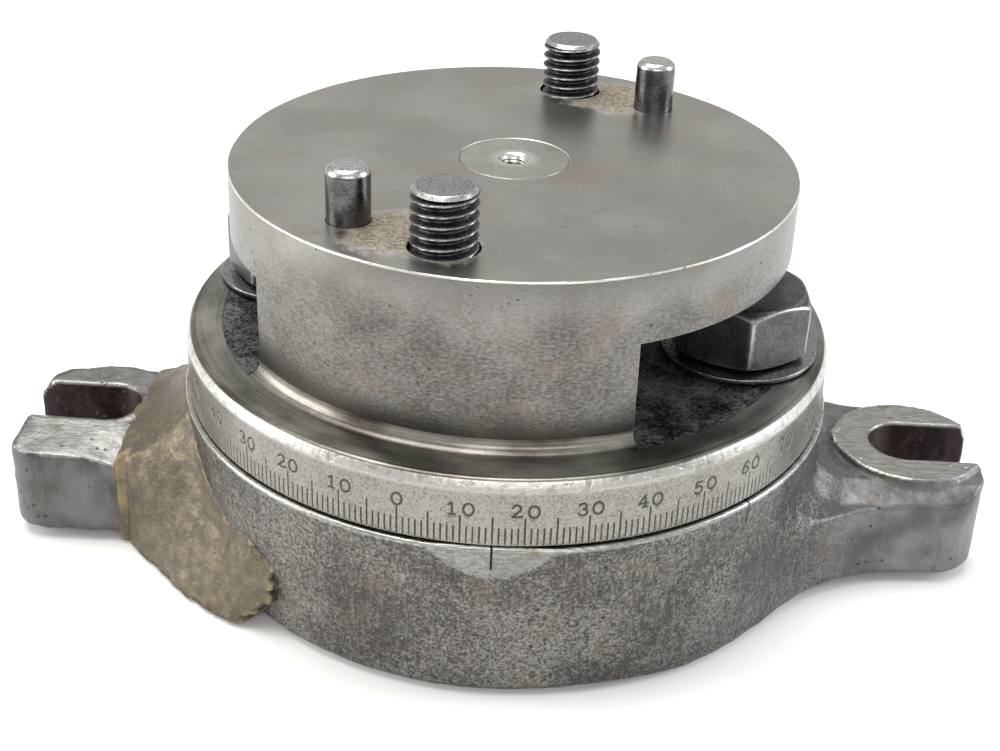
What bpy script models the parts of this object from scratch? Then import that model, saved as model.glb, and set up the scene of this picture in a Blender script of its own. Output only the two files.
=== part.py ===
"""Swivel base (rotary table) with a graduated collar, two clamp bolts with T-nuts and two slotted lugs.

The base stands on Z = 0 with its lugs along X, and the table turns about Z.  Sizes are given in
millimetres and become metres as each mesh is made.
"""

import math

import bmesh
import bpy
from mathutils import Matrix

MM = 0.001
GAP = 0.3
SEGMENTS = 72
SMALL_SEGMENTS = 36
SMOOTH_ANGLE = math.radians(35)

# Base casting
BASE_TOP = 27.75
BASE_TOP_RADIUS = 51.5
BASE_FOOT_RADIUS = 48.5
FOOT_CHAMFER = 0.8
RIM_CHAMFER = 0.5
INDEX_FLAT_DEPTH = 0.75
INDEX_FLAT_TILT = 3.2

# Annular T-slot in the top of the base
CLAMP_RADIUS = 37.0
THROAT_WIDTH = 13.5
CAVITY_WIDTH = 20.6
CAVITY_FLOOR = 9.5
CAVITY_ROOF = 19.0

# Pivot under the middle of the table
PLUG_RADIUS = 8.35
JOURNAL_RADIUS = 8.0
BUSH_BORE = 8.3
BUSH_RADIUS = 11.0
COUNTERBORE_RADIUS = 15.0
COUNTERBORE_DEPTH = 12.0
PIVOT_NUT_HEIGHT = 7.9
CENTRE_HOLE_RADIUS = 1.85
CENTRE_HOLE_DEPTH = 9.0
CENTRE_COUNTERSINK = 0.5

# Lugs
RIGHT_LUG_END = 78.0
LEFT_LUG_END = 79.4
LUG_HALF_WIDTH = 15.4
LUG_UNDERSIDE = 2.0
LUG_TOP = 15.4
NECK_FILLET = 20.0
LUG_ROOT_RADIUS = 47.9
RIGHT_LUG_CORNER = 8.0
LEFT_LUG_CORNER = 4.5
SLOT_HALF_WIDTH = 5.6
SLOT_CENTRE = 66.3
PAD_CENTRE = 67.0
PAD_RADIUS = 12.1
PAD_TOP = 17.6
BREAK_LINE = 57.5

# Table: graduated flange, hub and top plate in one piece
SWIVEL_REST = math.radians(-15)
TABLE_UNDERSIDE = 28.05
FLANGE_RADIUS = 50.8
BAND_TOP = 36.65
FLANGE_TOP = 38.4
SHOULDER_START = 49.4
COVE_RADIUS = 1.8
HUB_RADIUS = 43.25
PLATE_UNDERSIDE = 53.9
TABLE_TOP = 64.2
TABLE_EDGE_CHAMFER = 0.3

# Pockets that open the hub round the heads of the clamp bolts
POCKET_HALF_ANGLE = math.radians(49)
POCKET_INNER_RADIUS = 22.8
POCKET_OUTER_RADIUS = 45.2
POCKET_FLOOR = 38.2

# Studs and dowels in the top plate, and where they stand about the zero line
STUD_RADIUS = 9.525 / 2
STUD_STANDS = 8.8
STUD_SUNK = 12.0
STUD_CIRCLE = 33.9
STUD_ANGLE = math.radians(0.7)
DOWEL_RADIUS = 6.35 / 2
DOWEL_STANDS = 8.1
DOWEL_SUNK = 10.0
DOWEL_ANGLE = math.radians(-25.8)

# Half-inch clamp hardware
BOLT_RADIUS = 12.7 / 2
ACROSS_FLATS = 19.05
BOLT_HEAD_HEIGHT = 9.6
WASHER_RADIUS = 12.0
WASHER_THICKNESS = 0.7
PIVOT_WASHER_RADIUS = 13.5
PIVOT_WASHER_THICKNESS = 1.6
BOLT_TIP = 10.5
T_NUT_HEIGHT = 6.3
T_NUT_RADIAL = 18.5
T_NUT_TANGENTIAL = 19.0
T_NUT_CORNER = 3.0
RIGHT_HEAD_CORNER = math.radians(-11.7)
LEFT_HEAD_CORNER = math.radians(15.0)


# ---------------------------------------------------------------- materials


def material(name, colour, roughness, metallic=1.0):
    made = bpy.data.materials.new(name)
    made.use_nodes = True
    shader = made.node_tree.nodes["Principled BSDF"]
    shader.inputs["Base Color"].default_value = (*colour, 1.0)
    shader.inputs["Roughness"].default_value = roughness
    shader.inputs["Metallic"].default_value = metallic
    made.diffuse_color = (*colour, 1.0)
    return made


# ---------------------------------------------------------------- mesh makers


def finish_mesh(name, mesh, finish):
    """Turns a bmesh in millimetres into a named object in metres with its own material."""
    bmesh.ops.recalc_face_normals(mesh, faces=mesh.faces)
    bmesh.ops.scale(mesh, vec=(MM, MM, MM), verts=mesh.verts)
    data = bpy.data.meshes.new(name)
    mesh.to_mesh(data)
    mesh.free()
    data.shade_smooth()
    data.set_sharp_from_angle(angle=SMOOTH_ANGLE)
    if finish:
        data.materials.append(finish)
    made = bpy.data.objects.new(name, data)
    bpy.context.scene.collection.objects.link(made)
    return made


def turned(name, outline, finish=None, segments=SEGMENTS, spin=0.0):
    """A solid turned about Z from a closed outline of (radius, height) points."""
    mesh = bmesh.new()
    rings = []
    for radius, height in outline:
        if radius == 0:
            rings.append([mesh.verts.new((0, 0, height))] * segments)
            continue
        angles = [spin + 2 * math.pi * k / segments for k in range(segments)]
        rings.append([mesh.verts.new((radius * math.cos(a), radius * math.sin(a), height)) for a in angles])
    for ring, following in zip(rings, rings[1:] + rings[:1]):
        for k in range(segments):
            after = (k + 1) % segments
            corners = [ring[k], ring[after], following[after], following[k]]
            corners = list(dict.fromkeys(corners))
            if len(corners) > 2:
                mesh.faces.new(corners)
    return finish_mesh(name, mesh, finish)


def prism(name, outline, low, high, finish=None):
    """A solid with a closed (x, y) outline between two heights."""
    mesh = bmesh.new()
    face = mesh.faces.new([mesh.verts.new((x, y, low)) for x, y in outline])
    extruded = bmesh.ops.extrude_face_region(mesh, geom=[face])
    raised = [v for v in extruded["geom"] if isinstance(v, bmesh.types.BMVert)]
    bmesh.ops.translate(mesh, vec=(0, 0, high - low), verts=raised)
    return finish_mesh(name, mesh, finish)


def arc(centre, radius, start, end, steps):
    """Points along an arc between two angles in degrees, both ends included."""
    angles = [math.radians(start + (end - start) * k / steps) for k in range(steps + 1)]
    return [(centre[0] + radius * math.cos(a), centre[1] + radius * math.sin(a)) for a in angles]


def apply_boolean(target, other, operation):
    """Adds a Boolean to target, and keeps the other shape as a hidden wire guide."""
    modifier = target.modifiers.new(other.name, "BOOLEAN")
    modifier.operation = operation
    modifier.solver = "EXACT"
    modifier.object = other
    other.hide_render = True
    other.display_type = "WIRE"


def cut(target, *others):
    for other in others:
        apply_boolean(target, other, "DIFFERENCE")


def join(target, *others):
    for other in others:
        apply_boolean(target, other, "UNION")


def stand(piece, parent, x=0.0, y=0.0, turn=0.0):
    """Parents a piece and places it in its parent's frame, in millimetres."""
    piece.parent = parent
    piece.location = (x * MM, y * MM, 0)
    piece.rotation_euler = (0, 0, turn)


# ---------------------------------------------------------------- lugs


def lug_outline(side, end, corner, inner):
    """The lug's rounded outer end, closed by the inner points of its near side and their mirror."""
    near = inner[::-1] + arc((end - corner, -(LUG_HALF_WIDTH - corner)), corner, -90, 0, 5)
    far = [(x, -y) for x, y in reversed(near)]
    return [(side * x, y) for x, y in near + far]


def neck_points():
    """The concave neck from the lug's side to the body's wall, and the lug's end inside that wall."""
    centre_y = -(LUG_HALF_WIDTH + NECK_FILLET)
    reach = BASE_FOOT_RADIUS + NECK_FILLET + 1.0
    centre_x = math.sqrt(reach**2 - centre_y**2)
    tangent = math.degrees(math.atan2(-centre_y, -centre_x))
    curve = arc((centre_x, centre_y), NECK_FILLET, 90, tangent, 7)
    return curve + arc((0, 0), LUG_ROOT_RADIUS, tangent - 180, -2, 6)


def slot_cutter(name, side):
    """The open-ended clamping slot, with a round inner end."""
    end = arc((SLOT_CENTRE, 0), SLOT_HALF_WIDTH, 270, 90, 14)
    beyond = LEFT_LUG_END + 5
    outline = [(beyond, -SLOT_HALF_WIDTH)] + end + [(beyond, SLOT_HALF_WIDTH)]
    return prism(name, [(side * x, y) for x, y in outline], -3, PAD_TOP + 5)


def pad(name, side):
    """The round machined pad that a clamping bolt's washer bears on."""
    ring = arc((side * PAD_CENTRE, 0), PAD_RADIUS, 0, 360 * 35 / 36, 35)
    return prism(name, ring, LUG_UNDERSIDE + 3, PAD_TOP)


def box_cutter(name, low, high):
    outline = [(low[0], low[1]), (high[0], low[1]), (high[0], high[1]), (low[0], high[1])]
    return prism(name, outline, low[2], high[2])


# ---------------------------------------------------------------- base pieces


def base_body(finish):
    throat = THROAT_WIDTH / 2
    cavity = CAVITY_WIDTH / 2
    outline = [
        (BASE_FOOT_RADIUS - FOOT_CHAMFER, 0),
        (BASE_FOOT_RADIUS, FOOT_CHAMFER),
        (BASE_TOP_RADIUS, BASE_TOP - RIM_CHAMFER),
        (BASE_TOP_RADIUS - RIM_CHAMFER, BASE_TOP),
        (CLAMP_RADIUS + throat, BASE_TOP),
        (CLAMP_RADIUS + throat, CAVITY_ROOF),
        (CLAMP_RADIUS + cavity, CAVITY_ROOF),
        (CLAMP_RADIUS + cavity, CAVITY_FLOOR),
        (CLAMP_RADIUS - cavity, CAVITY_FLOOR),
        (CLAMP_RADIUS - cavity, CAVITY_ROOF),
        (CLAMP_RADIUS - throat, CAVITY_ROOF),
        (CLAMP_RADIUS - throat, BASE_TOP),
        (BUSH_RADIUS + GAP, BASE_TOP),
        (BUSH_RADIUS + GAP, COUNTERBORE_DEPTH),
        (COUNTERBORE_RADIUS, COUNTERBORE_DEPTH),
        (COUNTERBORE_RADIUS, 0),
    ]
    body = turned("base", outline, finish)
    inner = neck_points()
    outline = lug_outline(1, RIGHT_LUG_END, RIGHT_LUG_CORNER, inner)
    join(body, prism("right_lug_blank", outline, LUG_UNDERSIDE, LUG_TOP))
    join(body, pad("right_pad_blank", 1))
    cut(body, slot_cutter("right_slot_cutter", 1))
    cut(body, entry_cutter(), index_flat_cutter())
    return body


def entry_cutter():
    """Widens the T-slot's throat at the rear, where the T-nuts are let in."""
    half = CAVITY_WIDTH / 2
    low = (-half, CLAMP_RADIUS - half, CAVITY_ROOF - 1)
    high = (half, CLAMP_RADIUS + half, BASE_TOP + 2)
    return box_cutter("entry_cutter", low, high)


def index_flat_cutter():
    """The shallow flat at the front that carries the index line; it leans out and fades into the wall."""
    made = box_cutter("index_flat_cutter", (-15, -8, -8), (15, 0, 6))
    tilt = -math.radians(INDEX_FLAT_TILT)
    face = BASE_TOP_RADIUS - INDEX_FLAT_DEPTH
    made.data.transform(Matrix.Rotation(tilt, 4, "X"))
    made.data.transform(Matrix.Translation((0, -face * MM, BASE_TOP * MM)))
    return made


def left_lug(finish):
    """The lug that broke off: a plain end with its own slot and pad, cut off at the break."""
    inner = [(BREAK_LINE, -LUG_HALF_WIDTH)]
    outline = lug_outline(-1, LEFT_LUG_END, LEFT_LUG_CORNER, inner)
    lug = prism("left_lug", outline, LUG_UNDERSIDE, LUG_TOP, finish)
    join(lug, pad("left_pad_blank", -1))
    cut(lug, slot_cutter("left_slot_cutter", -1))
    cut(lug, box_cutter("left_break_cutter", (-BREAK_LINE, -20, -5), (-BREAK_LINE + 20, 20, 30)))
    return lug


def braze(finish):
    """Filler metal between the body and the broken lug, with a web run down the front wall.

    Each station is (outer x, outer y, outer top, angle of the inner point, inner top).
    """
    face = -(BREAK_LINE - GAP)
    stations = [
        (-34.9, -40.2, 13.0, -131, 14.0),
        (-38.4, -37.4, 15.0, -136, 16.0),
        (-44.6, -32.5, 13.0, -143, 16.5),
        (-52.0, -25.7, 13.5, -150, 19.0),
        (-55.2, -21.0, 14.5, -156, 22.0),
        (face, -16.8, 15.2, -161, 24.0),
        (face, -8.0, 16.6, -171, 24.5),
        (face, 8.0, 16.6, 171, 24.5),
        (face, 15.8, 15.2, 162, 24.0),
        (-53.8, 17.4, 14.6, 158, 21.0),
        (-49.8, 20.8, 14.0, 154, 18.0),
    ]
    inner_radius = BASE_FOOT_RADIUS - 3
    mesh = bmesh.new()
    loops = []
    for x, y, outer_top, angle, inner_top in stations:
        turn = math.radians(angle)
        ix = inner_radius * math.cos(turn)
        iy = inner_radius * math.sin(turn)
        corners = [(x, y, GAP), (x, y, outer_top), (ix, iy, inner_top), (ix, iy, GAP)]
        loops.append([mesh.verts.new(c) for c in corners])
    for loop, following in zip(loops, loops[1:]):
        for k in range(4):
            after = (k + 1) % 4
            mesh.faces.new((loop[k], loop[after], following[after], following[k]))
    mesh.faces.new(loops[0])
    mesh.faces.new(loops[-1])
    bmesh.ops.triangulate(mesh, faces=mesh.faces)
    filler = finish_mesh("braze_repair", mesh, finish)
    slope = (BASE_TOP_RADIUS - BASE_FOOT_RADIUS) / BASE_TOP
    wall = [
        (0, -4),
        (BASE_FOOT_RADIUS + GAP - 4 * slope, -4),
        (BASE_TOP_RADIUS + GAP + 4 * slope, BASE_TOP + 4),
        (0, BASE_TOP + 4),
    ]
    cut(filler, turned("braze_wall_cutter", wall))
    return filler


def bush(finish):
    outline = [
        (BUSH_BORE, COUNTERBORE_DEPTH + GAP),
        (BUSH_RADIUS, COUNTERBORE_DEPTH + GAP),
        (BUSH_RADIUS, BASE_TOP - GAP),
        (BUSH_BORE, BASE_TOP - GAP),
    ]
    return turned("pivot_bush", outline, finish, SMALL_SEGMENTS)


# ---------------------------------------------------------------- table pieces


def swivel_table(finish):
    """Flange, hub and plate as one turned piece, opened by the two nut pockets."""
    cove_centre = (HUB_RADIUS + COVE_RADIUS, FLANGE_TOP + COVE_RADIUS)
    bore = PLUG_RADIUS + GAP
    outline = [
        (bore, TABLE_UNDERSIDE),
        (FLANGE_RADIUS - TABLE_EDGE_CHAMFER, TABLE_UNDERSIDE),
        (FLANGE_RADIUS, TABLE_UNDERSIDE + TABLE_EDGE_CHAMFER),
        (FLANGE_RADIUS, BAND_TOP),
        (FLANGE_RADIUS - 0.55, BAND_TOP + 1.2),
        (SHOULDER_START, FLANGE_TOP),
    ]
    outline += arc(cove_centre, COVE_RADIUS, 270, 180, 4)
    outline += [
        (HUB_RADIUS, TABLE_TOP - TABLE_EDGE_CHAMFER),
        (HUB_RADIUS - TABLE_EDGE_CHAMFER, TABLE_TOP),
        (bore, TABLE_TOP),
    ]
    table = turned("swivel_table", outline, finish)
    for name, side in (("right", 0), ("left", math.pi)):
        cut(table, pocket_cutter(f"{name}_pocket_cutter", side))
        low, high = TABLE_UNDERSIDE - 4, FLANGE_TOP + 4
        hole = round_cutter(f"{name}_bolt_hole_cutter", BOLT_RADIUS + GAP, low, high)
        move_mesh(hole, CLAMP_RADIUS * math.cos(side), CLAMP_RADIUS * math.sin(side))
        cut(table, hole)
    for name, x, y in stud_places():
        low, high = TABLE_TOP - STUD_SUNK - GAP, TABLE_TOP + 3
        hole = round_cutter(f"{name}_hole_cutter", STUD_RADIUS + GAP, low, high)
        move_mesh(hole, x, y)
        cut(table, hole)
    for name, x, y in dowel_places():
        low, high = TABLE_TOP - DOWEL_SUNK - GAP, TABLE_TOP + 3
        hole = round_cutter(f"{name}_hole_cutter", DOWEL_RADIUS + GAP, low, high)
        move_mesh(hole, x, y)
        cut(table, hole)
    return table


def pocket_cutter(name, side):
    """An annular segment round one clamp nut, from the hub's core to the flange's flat."""
    half = math.degrees(POCKET_HALF_ANGLE)
    inner = arc((0, 0), POCKET_INNER_RADIUS, -half, half, 12)
    outer = arc((0, 0), POCKET_OUTER_RADIUS, half, -half, 20)
    made = prism(name, inner + outer, POCKET_FLOOR, PLATE_UNDERSIDE)
    made.data.transform(Matrix.Rotation(side, 4, "Z"))
    return made


def round_cutter(name, radius, low, high):
    outline = [(0, low), (radius, low), (radius, high), (0, high)]
    return turned(name, outline, segments=SMALL_SEGMENTS)


def move_mesh(piece, x, y):
    piece.data.transform(Matrix.Translation((x * MM, y * MM, 0)))


def on_circle(radius, angle):
    """A place at an angle from the zero line, which runs along -Y of the table."""
    return radius * math.sin(angle), -radius * math.cos(angle)


def stud_places():
    x, y = on_circle(STUD_CIRCLE, STUD_ANGLE)
    return ("front_stud", x, y), ("rear_stud", -x, -y)


def dowel_places():
    x, y = on_circle(STUD_CIRCLE, DOWEL_ANGLE)
    return ("front_dowel", x, y), ("rear_dowel", -x, -y)


def pivot_post(finish):
    """The plug that shows in the table's top, its journal and the threaded end for the pivot nut."""
    hole_floor = TABLE_TOP - CENTRE_HOLE_DEPTH
    top = TABLE_TOP
    outline = [
        (0, hole_floor - 1),
        (CENTRE_HOLE_RADIUS, hole_floor),
        (CENTRE_HOLE_RADIUS, top - CENTRE_COUNTERSINK),
        (CENTRE_HOLE_RADIUS + CENTRE_COUNTERSINK, top),
        (PLUG_RADIUS, top),
        (PLUG_RADIUS, TABLE_UNDERSIDE),
        (JOURNAL_RADIUS, TABLE_UNDERSIDE),
        (JOURNAL_RADIUS, COUNTERBORE_DEPTH),
        (BOLT_RADIUS, COUNTERBORE_DEPTH),
        (BOLT_RADIUS, 2.0),
        (BOLT_RADIUS - 0.8, 1.2),
        (0, 1.2),
    ]
    return turned("pivot_post", outline, finish, SMALL_SEGMENTS)


def washer(name, low, radius, thickness, finish):
    outline = [
        (BOLT_RADIUS + GAP, low),
        (radius, low),
        (radius, low + thickness),
        (BOLT_RADIUS + GAP, low + thickness),
    ]
    return turned(name, outline, finish, SMALL_SEGMENTS)


def hexagon(name, low, height, finish):
    """A hexagon whose top corners are chamfered by a turned outline."""
    corner_radius = ACROSS_FLATS / 2 / math.cos(math.pi / 6)
    high = low + height
    made = prism(name, arc((0, 0), corner_radius, 0, 300, 5), low, high, finish)
    beyond = corner_radius + 4
    flat = ACROSS_FLATS / 2 - 0.3
    drop = (beyond - flat) * math.tan(math.radians(30))
    collar = [(flat, high), (beyond, high - drop), (beyond, high + 3), (flat, high + 3)]
    cut(made, turned(f"{name}_chamfer_cutter", collar, segments=SMALL_SEGMENTS))
    return made


def nut(name, low, height, finish):
    made = hexagon(name, low, height, finish)
    cut(made, round_cutter(f"{name}_bore_cutter", BOLT_RADIUS + GAP, low - 3, low + height + 6))
    return made


def clamp_bolt(name, low, finish):
    """A bolt whose head stands in the pocket and whose shank goes down through the flange."""
    made = hexagon(name, low, BOLT_HEAD_HEIGHT, finish)
    shank = [
        (0, BOLT_TIP),
        (BOLT_RADIUS - 1, BOLT_TIP),
        (BOLT_RADIUS, BOLT_TIP + 1),
        (BOLT_RADIUS, low + 2),
        (0, low + 2),
    ]
    join(made, turned(f"{name}_shank_blank", shank, segments=SMALL_SEGMENTS))
    return made


def t_nut(name, finish):
    """The block that the clamp bolt pulls up under the lips of the annular slot."""
    top = CAVITY_ROOF - GAP
    x = T_NUT_RADIAL / 2
    y = T_NUT_TANGENTIAL / 2
    quarter = [(x, y - T_NUT_CORNER), (x - T_NUT_CORNER, y)]
    mirrored = [(-px, py) for px, py in reversed(quarter)]
    outline = quarter + mirrored + [(-px, -py) for px, py in quarter + mirrored]
    made = prism(name, outline, top - T_NUT_HEIGHT, top, finish)
    cut(made, round_cutter(f"{name}_bore_cutter", BOLT_RADIUS + GAP, top - T_NUT_HEIGHT - 3, top + 3))
    return made


def pin(name, radius, low, high, chamfer, finish):
    outline = [
        (0, low),
        (radius - chamfer, low),
        (radius, low + chamfer),
        (radius, high - chamfer),
        (radius - chamfer, high),
        (0, high),
    ]
    return turned(name, outline, finish, SMALL_SEGMENTS)


# ---------------------------------------------------------------- assembly


def clamp_set(axis, name, side, corner, dark):
    """Washer, bolt and T-nut of one clamp, on its own axis in the table."""
    x = CLAMP_RADIUS * math.cos(side)
    y = CLAMP_RADIUS * math.sin(side)
    washer_low = FLANGE_TOP + GAP
    head_low = washer_low + WASHER_THICKNESS + GAP
    pieces = [
        (washer(f"{name}_clamp_washer", washer_low, WASHER_RADIUS, WASHER_THICKNESS, dark), 0.0),
        (clamp_bolt(f"{name}_clamp_bolt", head_low, dark), corner),
        (t_nut(f"{name}_t_nut", dark), side),
    ]
    for piece, turn in pieces:
        stand(piece, axis, x, y, turn)


def parent_cutters():
    """Each guide follows the piece it shapes, so that both stay in one frame."""
    for piece in list(bpy.data.objects):
        for modifier in piece.modifiers:
            if modifier.type == "BOOLEAN":
                modifier.object.parent = piece


def build():
    for old in list(bpy.data.objects):
        bpy.data.objects.remove(old)
    iron = material("cast_iron", (0.20, 0.20, 0.19), 0.5)
    filed_iron = material("filed_iron", (0.30, 0.30, 0.31), 0.4)
    bronze = material("braze_bronze", (0.40, 0.32, 0.17), 0.5)
    bush_bronze = material("bush_bronze", (0.52, 0.36, 0.16), 0.4)
    ground = material("ground_steel", (0.38, 0.37, 0.35), 0.38)
    plug_steel = material("plug_steel", (0.36, 0.36, 0.34), 0.36)
    dark = material("dark_steel", (0.13, 0.14, 0.16), 0.42)
    thread = material("thread_steel", (0.16, 0.17, 0.19), 0.4)
    pin_steel = material("pin_steel", (0.42, 0.42, 0.42), 0.3)

    base_body(iron)
    left_lug(filed_iron)
    braze(bronze)
    bush(bush_bronze)

    axis = bpy.data.objects.new("table_axis", None)
    bpy.context.scene.collection.objects.link(axis)
    axis.rotation_euler = (0, 0, SWIVEL_REST)
    stand(swivel_table(ground), axis)
    stand(pivot_post(plug_steel), axis)
    washer_low = COUNTERBORE_DEPTH - GAP - PIVOT_WASHER_THICKNESS
    pivot_washer = washer("pivot_washer", washer_low, PIVOT_WASHER_RADIUS, PIVOT_WASHER_THICKNESS, dark)
    stand(pivot_washer, axis)
    pivot_nut_low = washer_low - GAP - PIVOT_NUT_HEIGHT
    stand(nut("pivot_nut", pivot_nut_low, PIVOT_NUT_HEIGHT, dark), axis)
    for name, x, y in stud_places():
        stud = pin(name, STUD_RADIUS, TABLE_TOP - STUD_SUNK, TABLE_TOP + STUD_STANDS, 0.8, thread)
        stand(stud, axis, x, y)
    for name, x, y in dowel_places():
        dowel = pin(name, DOWEL_RADIUS, TABLE_TOP - DOWEL_SUNK, TABLE_TOP + DOWEL_STANDS, 0.5, pin_steel)
        stand(dowel, axis, x, y)
    clamp_set(axis, "right", 0.0, RIGHT_HEAD_CORNER, dark)
    clamp_set(axis, "left", math.pi, LEFT_HEAD_CORNER, dark)
    parent_cutters()


build()
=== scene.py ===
import math
import bmesh
import bpy
import numpy as np
from mathutils import Matrix, Vector, noise


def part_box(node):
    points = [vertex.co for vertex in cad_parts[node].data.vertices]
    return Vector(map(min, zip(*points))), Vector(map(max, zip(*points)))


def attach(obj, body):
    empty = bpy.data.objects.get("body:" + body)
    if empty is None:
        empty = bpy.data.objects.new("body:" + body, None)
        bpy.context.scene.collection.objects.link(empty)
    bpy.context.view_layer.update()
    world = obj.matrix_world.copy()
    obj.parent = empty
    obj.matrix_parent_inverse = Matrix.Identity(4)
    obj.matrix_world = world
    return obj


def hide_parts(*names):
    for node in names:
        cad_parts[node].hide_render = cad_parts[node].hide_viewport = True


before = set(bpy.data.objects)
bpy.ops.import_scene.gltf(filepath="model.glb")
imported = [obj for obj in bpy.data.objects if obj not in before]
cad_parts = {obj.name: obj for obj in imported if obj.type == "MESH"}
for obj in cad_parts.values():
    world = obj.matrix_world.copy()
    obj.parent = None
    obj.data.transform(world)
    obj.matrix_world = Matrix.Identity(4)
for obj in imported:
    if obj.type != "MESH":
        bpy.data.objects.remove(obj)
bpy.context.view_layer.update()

# All lengths below are millimetres; every mesh becomes metres as it is made.
MM = 0.001


def box_mm(node):
    """A CAD node's lowest and highest corners in millimetres."""
    low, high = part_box(node)
    return np.array(low) / MM, np.array(high) / MM


# ---------------------------------------------------------------- driving sizes

base_high = box_mm("base")[1]
table_low, table_high = box_mm("swivel_table")
# Clearance that stands in for pressed, threaded and clamped contact.
GAP = 0.3
RNG = np.random.default_rng(11)

# Base casting
BASE_TOP = base_high[2]
BASE_TOP_RADIUS = base_high[1]
BASE_FOOT_RADIUS = BASE_TOP_RADIUS - 3.0
WALL_SLOPE = (BASE_TOP_RADIUS - BASE_FOOT_RADIUS) / BASE_TOP
RIGHT_LUG_END = base_high[0]
LEFT_LUG_END = -box_mm("left_lug")[0][0]
LUG_HALF_WIDTH = 15.4
LUG_UNDERSIDE = 2.0
LUG_SHOULDER = 15.0
PAD_CENTRE = 67.0
PAD_RADIUS = 12.1
PAD_TOP = 17.6
SLOT_CENTRE = 66.3
SLOT_HALF_WIDTH = 5.6
LUG_BREAK = 58.5
BRAZE_END = 61.6
INDEX_FLAT_DEPTH = 0.75
INDEX_FLAT_HEIGHT = 6.0
INDEX_FLAT_LEAN = math.tan(math.radians(3.2))

# What is cut out of the base: the annular T-slot and the pivot's stepped bore
CLAMP_RADIUS = 37.0
THROAT_HALF_WIDTH = 6.75
CAVITY_HALF_WIDTH = 10.3
CAVITY_FLOOR = 9.5
CAVITY_ROOF = 19.0
BUSH_BORE_RADIUS = 11.3
COUNTERBORE_RADIUS = 15.0
COUNTERBORE_DEPTH = 12.0

# Table
SWIVEL = math.radians(-15)
TABLE_TOP = table_high[2]
TABLE_UNDERSIDE = table_low[2]
FLANGE_RADIUS = table_high[0]
FLANGE_TOP = 38.4
BAND_TOP = 36.65
HUB_RADIUS = 43.25
PLATE_UNDERSIDE = 53.9
POCKET_FLOOR = 38.2
POCKET_INNER = 22.8
POCKET_OUTER = 45.2
POCKET_HALF_ANGLE = math.radians(49.375)
PLUG_RADIUS = 8.35
STUD_RADIUS = 9.525 / 2
STUD_CIRCLE = 33.9
STUD_ANGLE = math.radians(0.7)
DOWEL_RADIUS = 6.35 / 2
DOWEL_ANGLE = math.radians(-25.8)
STUD_STANDS = 8.8
STUD_SINKS = 12.0
DOWEL_STANDS = 8.1
DOWEL_SINKS = 10.0
BOLT_RADIUS = 12.7 / 2
TAPPED_RADIUS = BOLT_RADIUS + 0.12
ACROSS_FLATS = 19.05
HEXAGON_COLUMNS = 240
HEXAGON_CORNERS = {"right": math.radians(-11.7), "left": math.radians(15)}
STUD_PITCH = 25.4 / 16
BOLT_PITCH = 25.4 / 13


# ---------------------------------------------------------------- mesh kit


def add_object(name, data):
    made = bpy.data.objects.new(name, data)
    bpy.context.scene.collection.objects.link(made)
    return made


def make_piece(name, vertices, faces, finishes, body, slot, nodes, **options):
    """A named mesh in the frame: finished, riding on its body and standing for its CAD nodes."""
    data = bpy.data.meshes.new(name)
    data.from_pydata((np.asarray(vertices, float) * MM).tolist(), [], faces)
    data.update()
    for finish in finishes:
        data.materials.append(finish)
    if "indices" in options:
        data.polygons.foreach_set("material_index", options["indices"])
    for key, values in options.get("masks", {}).items():
        mask = data.attributes.new(key, "FLOAT", "POINT")
        mask.data.foreach_set("value", np.asarray(values, np.float32))
    made = add_object(name, data)
    x, y = options.get("place", (0, 0))
    made.location = (x * MM, y * MM, 0)
    data.transform(Matrix.Rotation(options.get("turn", 0), 4, "Z"))
    shade(data, options.get("sharp", 40))
    settle(made, body, nodes)
    return made


def shade(data, sharp):
    """Smooth shading, broken at edges sharper than an angle in degrees; 0 breaks none."""
    data.shade_smooth()
    if sharp:
        data.set_sharp_from_angle(angle=math.radians(sharp))


def settle(made, body, nodes):
    """Puts a piece on its body and lets it stand for its CAD nodes."""
    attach(made, body)
    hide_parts(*nodes)


def grid_quads(rows, columns, wrap_rows=False):
    """Quads between neighbouring rows of a grid whose columns close on themselves."""
    first = np.arange(rows if wrap_rows else rows - 1)[:, None]
    second = (first + 1) % rows
    column = np.arange(columns)[None, :]
    after = (column + 1) % columns
    corners = (first * columns + column, first * columns + after, second * columns + after)
    quads = np.stack(np.broadcast_arrays(*corners, second * columns + column), -1)
    return quads.reshape(-1, 4)


def arc(centre, radius, start, end, steps):
    """Points along an arc between two angles in degrees, both ends included."""
    angles = [math.radians(start + (end - start) * k / steps) for k in range(steps + 1)]
    return [(centre[0] + radius * math.cos(a), centre[1] + radius * math.sin(a)) for a in angles]


def soften(corners, steps=3):
    """A closed outline from (radius, height, softness) corners, each corner rounded by its softness."""
    points = []
    for k, (r, z, softness) in enumerate(corners):
        here = np.array([r, z])
        if softness == 0:
            points.append((r, z))
            continue
        before = np.array(corners[k - 1][:2]) - here
        after = np.array(corners[(k + 1) % len(corners)][:2]) - here
        a = here + before / np.hypot(*before) * softness
        b = here + after / np.hypot(*after) * softness
        for t in np.linspace(0, 1, steps + 1):
            points.append(tuple((1 - t) ** 2 * a + 2 * t * (1 - t) * here + t**2 * b))
    return points


def around(columns):
    """The angles of a turned grid's columns."""
    return 2 * np.pi * np.arange(columns) / columns


def turned(radius, height, angles):
    """Vertices of a turned grid from the radius and height of each row, or of each point."""
    x = radius * np.cos(angles)
    y = radius * np.sin(angles)
    return np.stack([x, y, np.broadcast_to(height, x.shape)], -1).reshape(-1, 3)


def revolve(outline, columns):
    """Vertices and quads of a closed (radius, height) outline turned about Z."""
    radius, height = np.array(outline).T
    vertices = turned(radius[:, None], height[:, None], around(columns))
    return vertices, grid_quads(len(outline), columns, True)


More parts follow.
